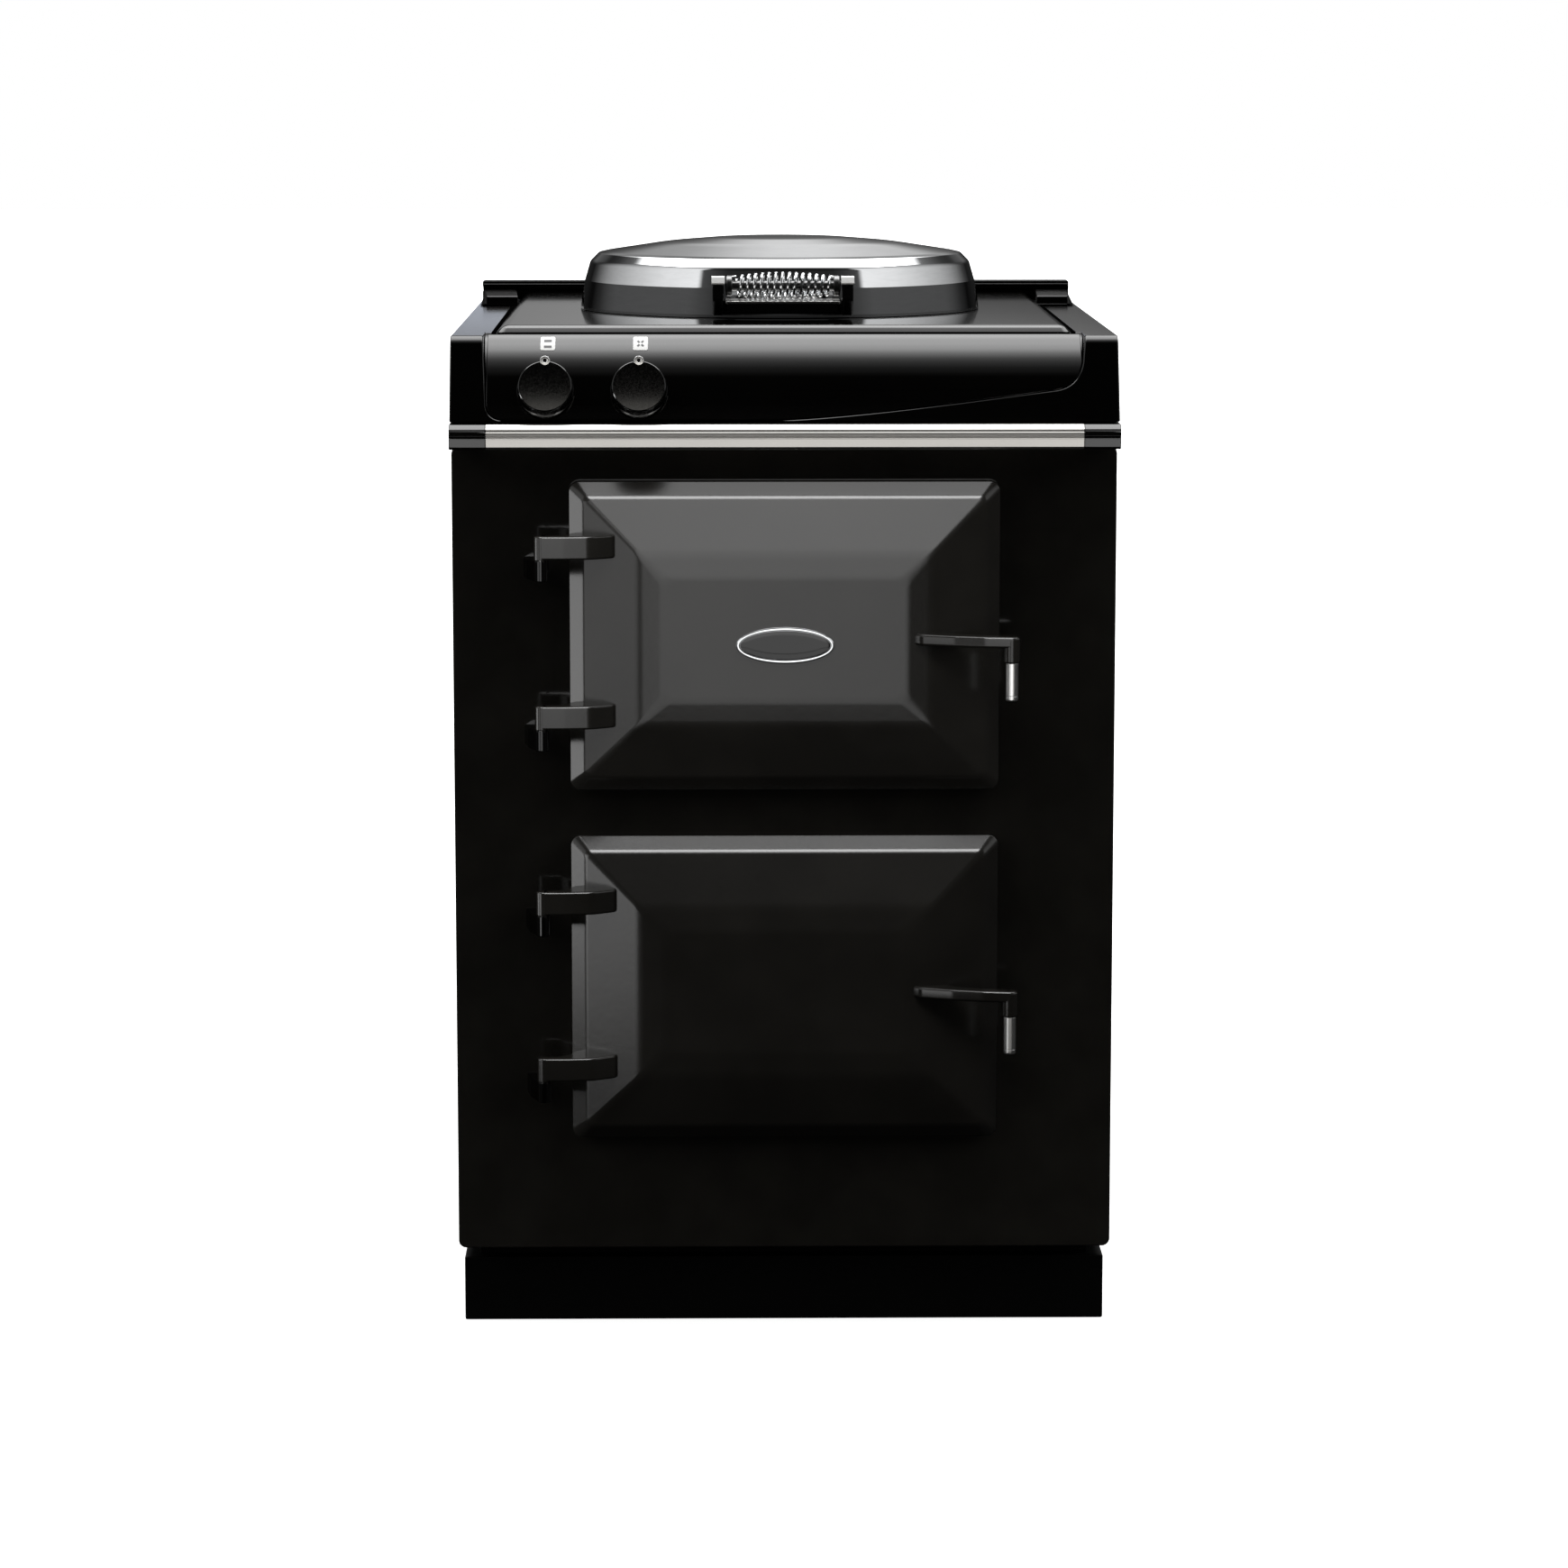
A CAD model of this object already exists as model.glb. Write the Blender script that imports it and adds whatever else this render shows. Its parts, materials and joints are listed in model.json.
"""Looks of a black enamelled cast iron range cooker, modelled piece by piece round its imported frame.

Lengths in the fields of the classes are millimetres. A depth is measured from the face of the front
plate, positive to the rear and negative proud of it. Meshes are in metres, in the frame's own axes.
"""

import json
import logging
import math
from collections.abc import Callable, Iterator, Sequence
from contextlib import contextmanager
from dataclasses import dataclass
from enum import Enum

import bpy
from mathutils import Matrix, Vector

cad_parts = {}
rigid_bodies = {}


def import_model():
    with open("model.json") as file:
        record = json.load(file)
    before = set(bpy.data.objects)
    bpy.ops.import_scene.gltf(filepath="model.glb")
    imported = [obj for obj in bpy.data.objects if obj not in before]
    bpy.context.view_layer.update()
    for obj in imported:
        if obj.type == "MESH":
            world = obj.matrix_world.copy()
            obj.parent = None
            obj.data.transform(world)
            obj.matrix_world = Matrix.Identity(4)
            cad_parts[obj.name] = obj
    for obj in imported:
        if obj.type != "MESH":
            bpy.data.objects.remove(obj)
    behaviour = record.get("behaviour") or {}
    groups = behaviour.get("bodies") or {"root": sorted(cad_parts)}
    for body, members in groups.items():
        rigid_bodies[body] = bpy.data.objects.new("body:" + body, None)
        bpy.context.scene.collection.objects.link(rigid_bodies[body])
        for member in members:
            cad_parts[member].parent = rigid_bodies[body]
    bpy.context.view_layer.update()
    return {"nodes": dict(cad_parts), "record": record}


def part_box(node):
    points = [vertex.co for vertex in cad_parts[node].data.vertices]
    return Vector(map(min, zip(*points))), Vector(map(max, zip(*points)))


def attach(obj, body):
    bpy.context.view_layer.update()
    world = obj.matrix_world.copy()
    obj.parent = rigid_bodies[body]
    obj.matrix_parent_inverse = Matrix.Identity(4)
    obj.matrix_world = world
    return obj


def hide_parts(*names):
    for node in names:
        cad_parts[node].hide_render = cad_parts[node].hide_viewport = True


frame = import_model()
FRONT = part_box("front_plate")[0].y
MM = 0.001
WELD = 1e-6
CUT_WELD = 0.02 * MM
FLAT = math.radians(0.3)
MERGED_FLAT = math.radians(0.5)
SMOOTH_BELOW = 32.0
UPRIGHT = 0.9

log = logging.getLogger("range_cooker")

Corner = tuple[float, ...]
Corners = tuple[Corner, ...]
Spot = tuple[float, float]
Stops = tuple[Spot, ...]
Triple = tuple[float, float, float]
Piece = bpy.types.Object
Socket = bpy.types.NodeSocket
Material = bpy.types.Material


class Body(Enum):
    """Bodies of the frame that pieces ride on."""

    COOKER = "cooker_body"
    UPPER_DOOR = "upper_door"
    LOWER_DOOR = "lower_door"
    LID = "lid"
    OVEN_CONTROL = "oven_control"
    HOTPLATE_CONTROL = "hotplate_control"


class Slot(Enum):
    """Material slots of the record."""

    ENAMEL_IRON = "enamel_iron"
    ENAMEL_SHEET = "enamel_sheet"
    PLINTH = "plinth_black"
    CHROME = "chrome"
    STAINLESS = "stainless"
    BLACK_IRON = "black_iron"
    BLACK_PLASTIC = "black_plastic"
    RAW_IRON = "raw_iron"
    OVEN_ENAMEL = "oven_enamel"
    HEATER = "heater_steel"
    WOOL = "mineral_wool"
    ROPE = "glass_rope"
    KNOB = "knob_black"
    SWITCH = "switch_body"


# ---------------------------------------------------------------------------
# Shader sheets
# ---------------------------------------------------------------------------


class Value:
    """A number on a shader socket, which Python's operators combine."""

    def __init__(self, sheet: "Sheet", socket: Socket) -> None:
        """Wraps one output socket of a sheet's node."""
        self.sheet = sheet
        self.socket = socket

    def with_(self, operation: str, *others: "Value | float") -> "Value":
        """Puts the value through one Math node.

        Args:
            operation: the node's operation.
            others: the node's inputs after the value.

        Returns:
            The node's result.
        """
        return self.sheet.maths(operation, self, *others)

    def __add__(self, other: "Value | float") -> "Value":
        """Sum."""
        return self.with_("ADD", other)

    def __sub__(self, other: "Value | float") -> "Value":
        """Difference."""
        return self.with_("SUBTRACT", other)

    def __rsub__(self, other: float) -> "Value":
        """Difference from a number."""
        return self.sheet.maths("SUBTRACT", other, self)

    def __mul__(self, other: "Value | float") -> "Value":
        """Product."""
        return self.with_("MULTIPLY", other)

    def __abs__(self) -> "Value":
        """Size without sign."""
        return self.with_("ABSOLUTE")

    __radd__ = __add__
    __rmul__ = __mul__


class Sheet:
    """The node sheet of one material."""

    def __init__(self, name: str, constants: dict[str, float | tuple[float, ...]]) -> None:
        """Starts a material with one shader.

        Args:
            name: name of the material.
            constants: values set on the shader's own sockets.
        """
        self.material = bpy.data.materials.new(name)
        self.material.use_nodes = True
        self.tree = self.material.node_tree
        self.shader = self.tree.nodes["Principled BSDF"]
        for socket, value in constants.items():
            self.shader.inputs[socket].default_value = value

    @classmethod
    def over(cls, tree: bpy.types.NodeTree) -> "Sheet":
        """Gives the sheet of a node tree that has no shader of its own."""
        sheet = cls.__new__(cls)
        sheet.tree = tree
        return sheet

    def feed(self, socket: Socket, value: "Value | Socket | float | tuple") -> None:
        """Links or sets one input.

        Args:
            socket: the input.
            value: a result to link, or a constant.
        """
        if isinstance(value, Value):
            value = value.socket
        if isinstance(value, Socket):
            self.tree.links.new(value, socket)
        else:
            socket.default_value = value

    def node(self, kind: str, settings: dict | None = None, sockets: dict | None = None) -> bpy.types.Node:
        """Adds one node.

        Args:
            kind: type of the node.
            settings: what is set first, such as an operation, or a ramp's "stops" as (place, grey or colour).
            sockets: values or links of its inputs, by name or number.

        Returns:
            The node.
        """
        made = self.tree.nodes.new(kind)
        for key, value in (settings or {}).items():
            if key == "stops":
                ramp = made.color_ramp
                while len(ramp.elements) < len(value):
                    ramp.elements.new(0.5)
                for element, (place, tone) in zip(ramp.elements, value):
                    element.position = place
                    element.color = (tone, tone, tone, 1) if isinstance(tone, float) else (*tone, 1)
            else:
                setattr(made, key, value)
        for key, value in (sockets or {}).items():
            self.feed(made.inputs[key], value)
        return made

    def maths(self, operation: str, *operands: Value | float) -> Value:
        """Adds one Math node and gives its result."""
        made = self.node("ShaderNodeMath", {"operation": operation}, dict(enumerate(operands)))
        return Value(self, made.outputs[0])

    def ramp(self, value: Value, stops: Sequence[Spot]) -> Value:
        """Maps a value through stops of (value, result), straight between them."""
        low, high = stops[0][0], stops[-1][0]
        peak = max(result for _, result in stops)
        marks = [((at - low) / (high - low), result / peak) for at, result in stops]
        made = self.node("ShaderNodeValToRGB", {"stops": marks}, {0: self.steps(value, low, high)})
        return Value(self, made.outputs[0]) * peak

    def place(
        self, scale: Triple = (1, 1, 1), turn: Triple = (0, 0, 0), shift: Triple = (0, 0, 0),
    ) -> Socket:
        """Gives the object's coordinates, stretched, turned and moved."""
        source = self.node("ShaderNodeTexCoord").outputs["Object"]
        mapping = self.node("ShaderNodeMapping", None, {
            "Vector": source, "Scale": scale, "Rotation": turn, "Location": shift,
        })
        return mapping.outputs[0]

    def noise(
        self, scale: float, detail: float = 3.0, rough: float = 0.5, at: Socket | None = None,
    ) -> Value:
        """Gives noise from 0 to 1 with features of 1 / scale metres."""
        made = self.node("ShaderNodeTexNoise", None, {
            "Vector": at or self.place(), "Scale": scale, "Detail": detail, "Roughness": rough,
        })
        return Value(self, made.outputs["Fac"])

    def steps(
        self, value: Value, low: float, high: float, to_low: float = 0.0, to_high: float = 1.0,
    ) -> Value:
        """Maps a value from one range to another and holds it inside."""
        made = self.node("ShaderNodeMapRange", {"clamp": True}, {
            0: value, 1: low, 2: high, 3: to_low, 4: to_high,
        })
        return Value(self, made.outputs[0])

    def blend(self, factor: Value, first: tuple | Socket, second: tuple | Socket) -> Socket:
        """Mixes two colours by a factor."""
        def full(colour: tuple | Socket) -> tuple | Socket:
            """Gives a colour its alpha."""
            return (*colour, 1) if isinstance(colour, tuple) else colour

        mix = self.node("ShaderNodeMix", {"data_type": "RGBA"}, {0: factor, 6: full(first), 7: full(second)})
        return mix.outputs[2]

    def dress(self, colour: Socket, roughness: Value) -> None:
        """Feeds what varies over the surface to the shader."""
        self.feed(self.shader.inputs["Base Color"], colour)
        self.feed(self.shader.inputs["Roughness"], roughness)

    def relief(self, height: Value, depth: float) -> None:
        """Adds relief.

        Args:
            height: 0 to 1.
            depth: millimetres that 1 stands for.
        """
        bump = self.node("ShaderNodeBump", None, {"Strength": 1.0, "Distance": depth * MM, "Height": height})
        self.feed(self.shader.inputs["Normal"], bump.outputs[0])


@dataclass(frozen=True)
class Finish:
    """A finish of this cooker."""

    name: str

    def material(self) -> Material:
        """Returns the material, made once."""
        return bpy.data.materials.get(self.name) or self.mix()

    def mix(self) -> Material:
        """Makes the material."""
        raise NotImplementedError


@dataclass(frozen=True)
class Enamel(Finish):
    """Glossy vitreous enamel, with the slight waviness it has on cast iron or sheet.

    The enamel on the top may be duller from wiping, over the height dull_over, and cambered from the rear
    to the front by some millimetres to each square metre.
    """

    waviness: float = 0.012
    wave: float = 9.0
    gloss: float = 0.05
    tone: float = 0.0015
    index: float = 1.5
    dull_over: float = 2.0
    dulling: float = 0.0
    camber: float = 0.0
    rear: float = 0.335

    def mix(self) -> Material:
        """Makes the material."""
        sheet = Sheet(self.name, {"IOR": self.index})
        broad = sheet.noise(14.0, 2.0)
        peel = sheet.noise(1000.0 / self.wave, 2.0, 0.45)
        grain = sheet.noise(1400.0, 2.0, 0.6)
        at = sheet.node("ShaderNodeSeparateXYZ", None, {0: sheet.place()})
        height = Value(sheet, at.outputs["Z"])
        dull = sheet.steps(height, self.dull_over, self.dull_over + 0.0005, 0.0, self.dulling)
        sheet.dress(
            sheet.blend(sheet.steps(broad, 0.35, 0.65), self.shade(0.85), self.shade(1.15)),
            sheet.steps(grain, 0.35, 0.7, self.gloss, self.gloss + 0.05) + dull,
        )
        run = self.rear - Value(sheet, at.outputs["Y"])
        sheet.relief(self.waviness * (peel + 0.06 * grain) - self.camber * (run * run), 1.0)
        return sheet.material

    def shade(self, share: float) -> Triple:
        """Gives the warm black of the enamel, lighter or darker."""
        return (share * self.tone, 0.93 * share * self.tone, 0.8 * share * self.tone)


@dataclass(frozen=True)
class OvenEnamel(Finish):
    """Blue-grey oven enamel with white specks, a little baked on."""

    def mix(self) -> Material:
        """Makes the material."""
        sheet = Sheet(self.name, {"IOR": 1.5})
        cells = sheet.node("ShaderNodeTexVoronoi", None, {"Vector": sheet.place(), "Scale": 420.0})
        speck = sheet.steps(Value(sheet, cells.outputs["Distance"]), 0.16, 0.24, 1.0, 0.0)
        chosen = sheet.steps(sheet.noise(300.0, 1.0), 0.52, 0.56)
        stain = sheet.steps(sheet.noise(9.0, 4.0, 0.6), 0.45, 0.8)
        ground = sheet.blend(stain, (0.018, 0.020, 0.026), (0.028, 0.024, 0.021))
        sheet.dress(
            sheet.blend(speck * chosen, ground, (0.42, 0.43, 0.45)),
            sheet.steps(stain, 0.0, 1.0, 0.16, 0.38),
        )
        sheet.relief(sheet.noise(160.0, 2.0), 0.012)
        return sheet.material


@dataclass(frozen=True)
class SatinPaint(Finish):
    """Satin black paint or moulding with a fine grain."""

    tone: float = 0.008
    gloss: float = 0.42
    grain: float = 900.0
    depth: float = 0.006
    shine: float = 0.5

    def mix(self) -> Material:
        """Makes the material."""
        sheet = Sheet(self.name, {"IOR": 1.47, "Specular IOR Level": self.shine})
        fine = sheet.noise(self.grain, 3.0, 0.6)
        broad = sheet.noise(11.0, 3.0)
        low, high = self.tone * 0.85, self.tone * 1.25
        sheet.dress(
            sheet.blend(broad, (low, low, low), (high, high, high * 0.97)),
            sheet.steps(fine + 0.3 * broad, 0.4, 0.9, self.gloss - 0.05, self.gloss + 0.07),
        )
        sheet.relief(fine, self.depth)
        return sheet.material


@dataclass(frozen=True)
class Chrome(Finish):
    """Polished chrome with faint wiping marks."""

    tone: Triple = (0.78, 0.79, 0.80)
    gloss: float = 0.035
    waviness: float = 0.002

    def mix(self) -> Material:
        """Makes the material."""
        sheet = Sheet(self.name, {"Metallic": 1.0})
        wiped = sheet.noise(60.0, 4.0, 0.6, sheet.place((1.0, 1.0, 5.0), (0.3, 0.2, 0.1)))
        broad = sheet.noise(12.0, 2.0)
        dull = tuple(0.94 * part for part in self.tone)
        sheet.dress(
            sheet.blend(sheet.steps(wiped, 0.4, 0.7), self.tone, dull),
            sheet.steps(wiped * 0.6 + 0.4 * broad, 0.35, 0.7, self.gloss, self.gloss + 0.04),
        )
        sheet.relief(broad, self.waviness)
        return sheet.material


@dataclass(frozen=True)
class BrushedSteel(Finish):
    """Stainless steel brushed along X."""

    tone: Triple = (0.66, 0.65, 0.63)
    gloss: float = 0.22
    stretch: Triple = (12.0, 1600.0, 1600.0)
    contrast: float = 0.14
    depth: float = 0.0008

    def mix(self) -> Material:
        """Makes the material."""
        sheet = Sheet(self.name, {"Metallic": 1.0})
        lines = sheet.noise(1.0, 3.0, 0.65, sheet.place(self.stretch))
        broad = sheet.noise(16.0, 3.0)
        dull = tuple((1.0 - self.contrast) * part for part in self.tone)
        sheet.dress(
            sheet.blend(sheet.steps(lines, 0.3, 0.7), dull, self.tone),
            sheet.steps(lines * 0.7 + 0.3 * broad, 0.3, 0.7, self.gloss - 0.03, self.gloss + 0.05),
        )
        sheet.relief(lines, self.depth)
        return sheet.material


@dataclass(frozen=True)
class TurnedIron(Finish):
    """Machined and blackened iron with turning marks round a centre, and heat colours."""

    centre: tuple[float, float] = (0.0, 0.0)

    def mix(self) -> Material:
        """Makes the material."""
        sheet = Sheet(self.name, {"Metallic": 0.85})
        at = sheet.place(shift=(-self.centre[0], -self.centre[1], 0.0))
        rings = sheet.node("ShaderNodeTexWave", {"wave_type": "RINGS", "rings_direction": "Z"}, {
            "Vector": at, "Scale": 260.0, "Distortion": 0.6, "Detail": 2.0,
        })
        mark = Value(sheet, rings.outputs["Fac"])
        heat = sheet.steps(sheet.noise(14.0, 4.0, 0.6), 0.4, 0.7)
        ground = sheet.blend(heat, (0.060, 0.058, 0.056), (0.095, 0.078, 0.066))
        sheet.dress(
            sheet.blend(mark * 0.5, ground, (0.14, 0.14, 0.135)),
            sheet.steps(mark + 0.5 * heat, 0.0, 1.5, 0.36, 0.52),
        )
        sheet.relief(mark, 0.015)
        return sheet.material


@dataclass(frozen=True)
class HeaterSteel(Finish):
    """Sheathed heating element, dulled and blued by heat."""

    def mix(self) -> Material:
        """Makes the material."""
        sheet = Sheet(self.name, {"Metallic": 0.8})
        heat = sheet.steps(sheet.noise(24.0, 4.0, 0.6), 0.35, 0.7)
        fine = sheet.noise(700.0, 2.0)
        sheet.dress(
            sheet.blend(heat, (0.12, 0.11, 0.105), (0.10, 0.105, 0.14)),
            sheet.steps(fine, 0.3, 0.7, 0.4, 0.6),
        )
        sheet.relief(fine, 0.01)
        return sheet.material


@dataclass(frozen=True)
class Wool(Finish):
    """Mineral wool: matted fibres."""

    def mix(self) -> Material:
        """Makes the material."""
        sheet = Sheet(self.name, {"IOR": 1.45})
        fibres = sheet.noise(90.0, 8.0, 0.75, sheet.place((1.0, 1.0, 6.0)))
        tufts = sheet.noise(30.0, 3.0)
        sheet.dress(
            sheet.blend(sheet.steps(fibres, 0.3, 0.7), (0.34, 0.30, 0.20), (0.66, 0.62, 0.50)),
            sheet.steps(tufts, 0.0, 1.0, 0.9, 1.0),
        )
        sheet.relief(fibres * 0.6 + 0.4 * tufts, 1.5)
        return sheet.material


@dataclass(frozen=True)
class Rope(Finish):
    """Braided glass rope of the door seal."""

    def mix(self) -> Material:
        """Makes the material."""
        sheet = Sheet(self.name, {"IOR": 1.45})
        strands = []
        for turn in (0.7854, -0.7854):
            wave = sheet.node("ShaderNodeTexWave", {"bands_direction": "X"}, {
                "Vector": sheet.place(turn=(0.0, turn, 0.0)), "Scale": 130.0, "Distortion": 0.8,
            })
            strands.append(Value(sheet, wave.outputs["Fac"]))
        weave = strands[0] * strands[1]
        grime = sheet.noise(50.0, 3.0)
        sheet.dress(
            sheet.blend(weave, (0.13, 0.12, 0.10), (0.45, 0.43, 0.38)),
            sheet.steps(grime, 0.0, 1.0, 0.85, 1.0),
        )
        sheet.relief(weave, 0.5)
        return sheet.material


@dataclass(frozen=True)
class Moulding(Finish):
    """Pale moulding or print with a fine texture."""

    tone: Triple = (0.50, 0.47, 0.38)
    gloss: float = 0.45

    def mix(self) -> Material:
        """Makes the material."""
        sheet = Sheet(self.name, {"IOR": 1.48})
        fine = sheet.noise(1200.0, 2.0)
        broad = sheet.noise(40.0, 3.0)
        sheet.dress(
            sheet.blend(broad, tuple(0.94 * part for part in self.tone), self.tone),
            sheet.steps(fine, 0.3, 0.7, self.gloss - 0.06, self.gloss + 0.06),
        )
        sheet.relief(fine, 0.004)
        return sheet.material


CAST_ENAMEL = Enamel("cast_enamel", 0.012, 8.0)
TOP_ENAMEL = Enamel("top_enamel", 0.012, 8.0, dull_over=0.9088, dulling=0.1, camber=30.0)
HOB_ENAMEL = Enamel("hob_enamel", 0.012, 8.0, 0.08, camber=28.0)
RAIL_ENAMEL = Enamel("rail_enamel", 0.01, 8.0, 0.16, 0.001, 1.3)
SEAL_BLACK = SatinPaint("hob_seal_black", 0.001, 0.85, shine=0.0)
BODY_ENAMEL = Enamel("body_enamel", 0.016, 7.0, 0.07, 0.05)
DOOR_ENAMEL = Enamel("door_enamel", 0.03, 5.0, 0.18, 0.008)
SHEET_ENAMEL = Enamel("sheet_enamel", 0.006, 16.0, 0.04)
CHROME = Chrome("polished_chrome")
LINER_METAL = BrushedSteel("lid_liner_metal", (0.58, 0.58, 0.58), 0.3, (1500.0, 14.0, 1500.0))
STEEL = BrushedSteel("brushed_steel", (0.74, 0.73, 0.71))
TRIM_STEEL = BrushedSteel("trim_steel", (0.73, 0.72, 0.70), 0.2, (10.0, 900.0, 900.0), 0.05, 0.0002)
COLLAR_STEEL = BrushedSteel("collar_steel", (0.2, 0.2, 0.2), 0.3, (900.0, 900.0, 900.0))
CAP_STEEL = BrushedSteel("post_cap_steel", (0.6, 0.6, 0.59), 0.35, (900.0, 900.0, 900.0))
MARKER_STEEL = BrushedSteel("marker_steel", (0.85, 0.85, 0.85), 0.25, (900.0, 900.0, 900.0))
GRIP_STEEL = BrushedSteel("satin_grip_steel", (0.62, 0.62, 0.61), 0.3, (900.0, 900.0, 900.0))
PLINTH_PAINT = SatinPaint("plinth_paint", 0.002, 0.5)
BACK_PAINT = SatinPaint("back_panel_paint", 0.02, 0.45)
BLACK_FITTING = SatinPaint("black_fitting", 0.006, 0.22, 700.0, 0.003)
GLAND_MOULDING = SatinPaint("gland_moulding", 0.012, 0.5)
KNOB_MOULDING = SatinPaint("knob_moulding", 0.001, 0.14, 500.0, 0.0015)
OVEN_ENAMEL = OvenEnamel("oven_enamel_finish")
HEATER = HeaterSteel("heater_sheath")
WOOL = Wool("mineral_wool_finish")
ROPE = Rope("seal_rope")
SWITCH_MOULDING = Moulding("switch_moulding")
TILE_WHITE = Moulding("tile_white", (0.84, 0.84, 0.82), 0.3)
TILE_INK = Moulding("tile_ink", (0.035, 0.035, 0.04), 0.4)


# ---------------------------------------------------------------------------
# The bench
# ---------------------------------------------------------------------------


def spot(x: float, depth: float, z: float) -> Vector:
    """Turns millimetres across, in depth and up into a point of the frame."""
    return Vector((x * MM, FRONT + depth * MM, z * MM))


def stand(x: float, depth: float, z: float) -> Matrix:
    """Gives an upright axis through a point in millimetres."""
    return Matrix.Translation(spot(x, depth, z))


def rounded(corners: Sequence[Corner], steps: int = 5, closed: bool = True) -> list[Spot]:
    """Rounds the corners of a line.

    Args:
        corners: points (u, v), or (u, v, radius) where the corner is round.
        steps: pieces in each round corner.
        closed: whether the last point joins the first.

    Returns:
        The points of the line.
    """
    line: list[Spot] = []
    count = len(corners)
    for i, corner in enumerate(corners):
        here = Vector(corner[:2])
        radius = corner[2] if len(corner) > 2 else 0.0
        if not radius or (not closed and i in (0, count - 1)):
            line.append((here.x, here.y))
            continue
        back = Vector(corners[i - 1][:2]) - here
        ahead = Vector(corners[(i + 1) % count][:2]) - here
        opening = back.angle(ahead)
        run = min(radius / math.tan(opening / 2), back.length * 0.48, ahead.length * 0.48)
        middle = (back.normalized() + ahead.normalized()).normalized()
        centre = here + middle * (run / math.cos(opening / 2))
        first = here + back.normalized() * run - centre
        last = here + ahead.normalized() * run - centre
        start = math.atan2(first.y, first.x)
        swing = (math.atan2(last.y, last.x) - start + math.pi) % (2 * math.pi) - math.pi
        for k in range(steps + 1):
            angle = start + swing * k / steps
            along = first.length * math.cos(angle)
            line.append((centre.x + along, centre.y + first.length * math.sin(angle)))
    return line


def bezier(points: Sequence[Spot], steps: int) -> list[Spot]:
    """Gives points along a Bezier curve.

    Args:
        points: its ends, with its handles between them.
        steps: pieces of the curve.

    Returns:
        The points, with both ends.
    """
    line = []
    for i in range(steps + 1):
        t, level = i / steps, list(points)
        while len(level) > 1:
            level = [((1 - t) * a + t * c, (1 - t) * b + t * d) for (a, b), (c, d) in zip(level, level[1:])]
        line.append(level[0])
    return line


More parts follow.
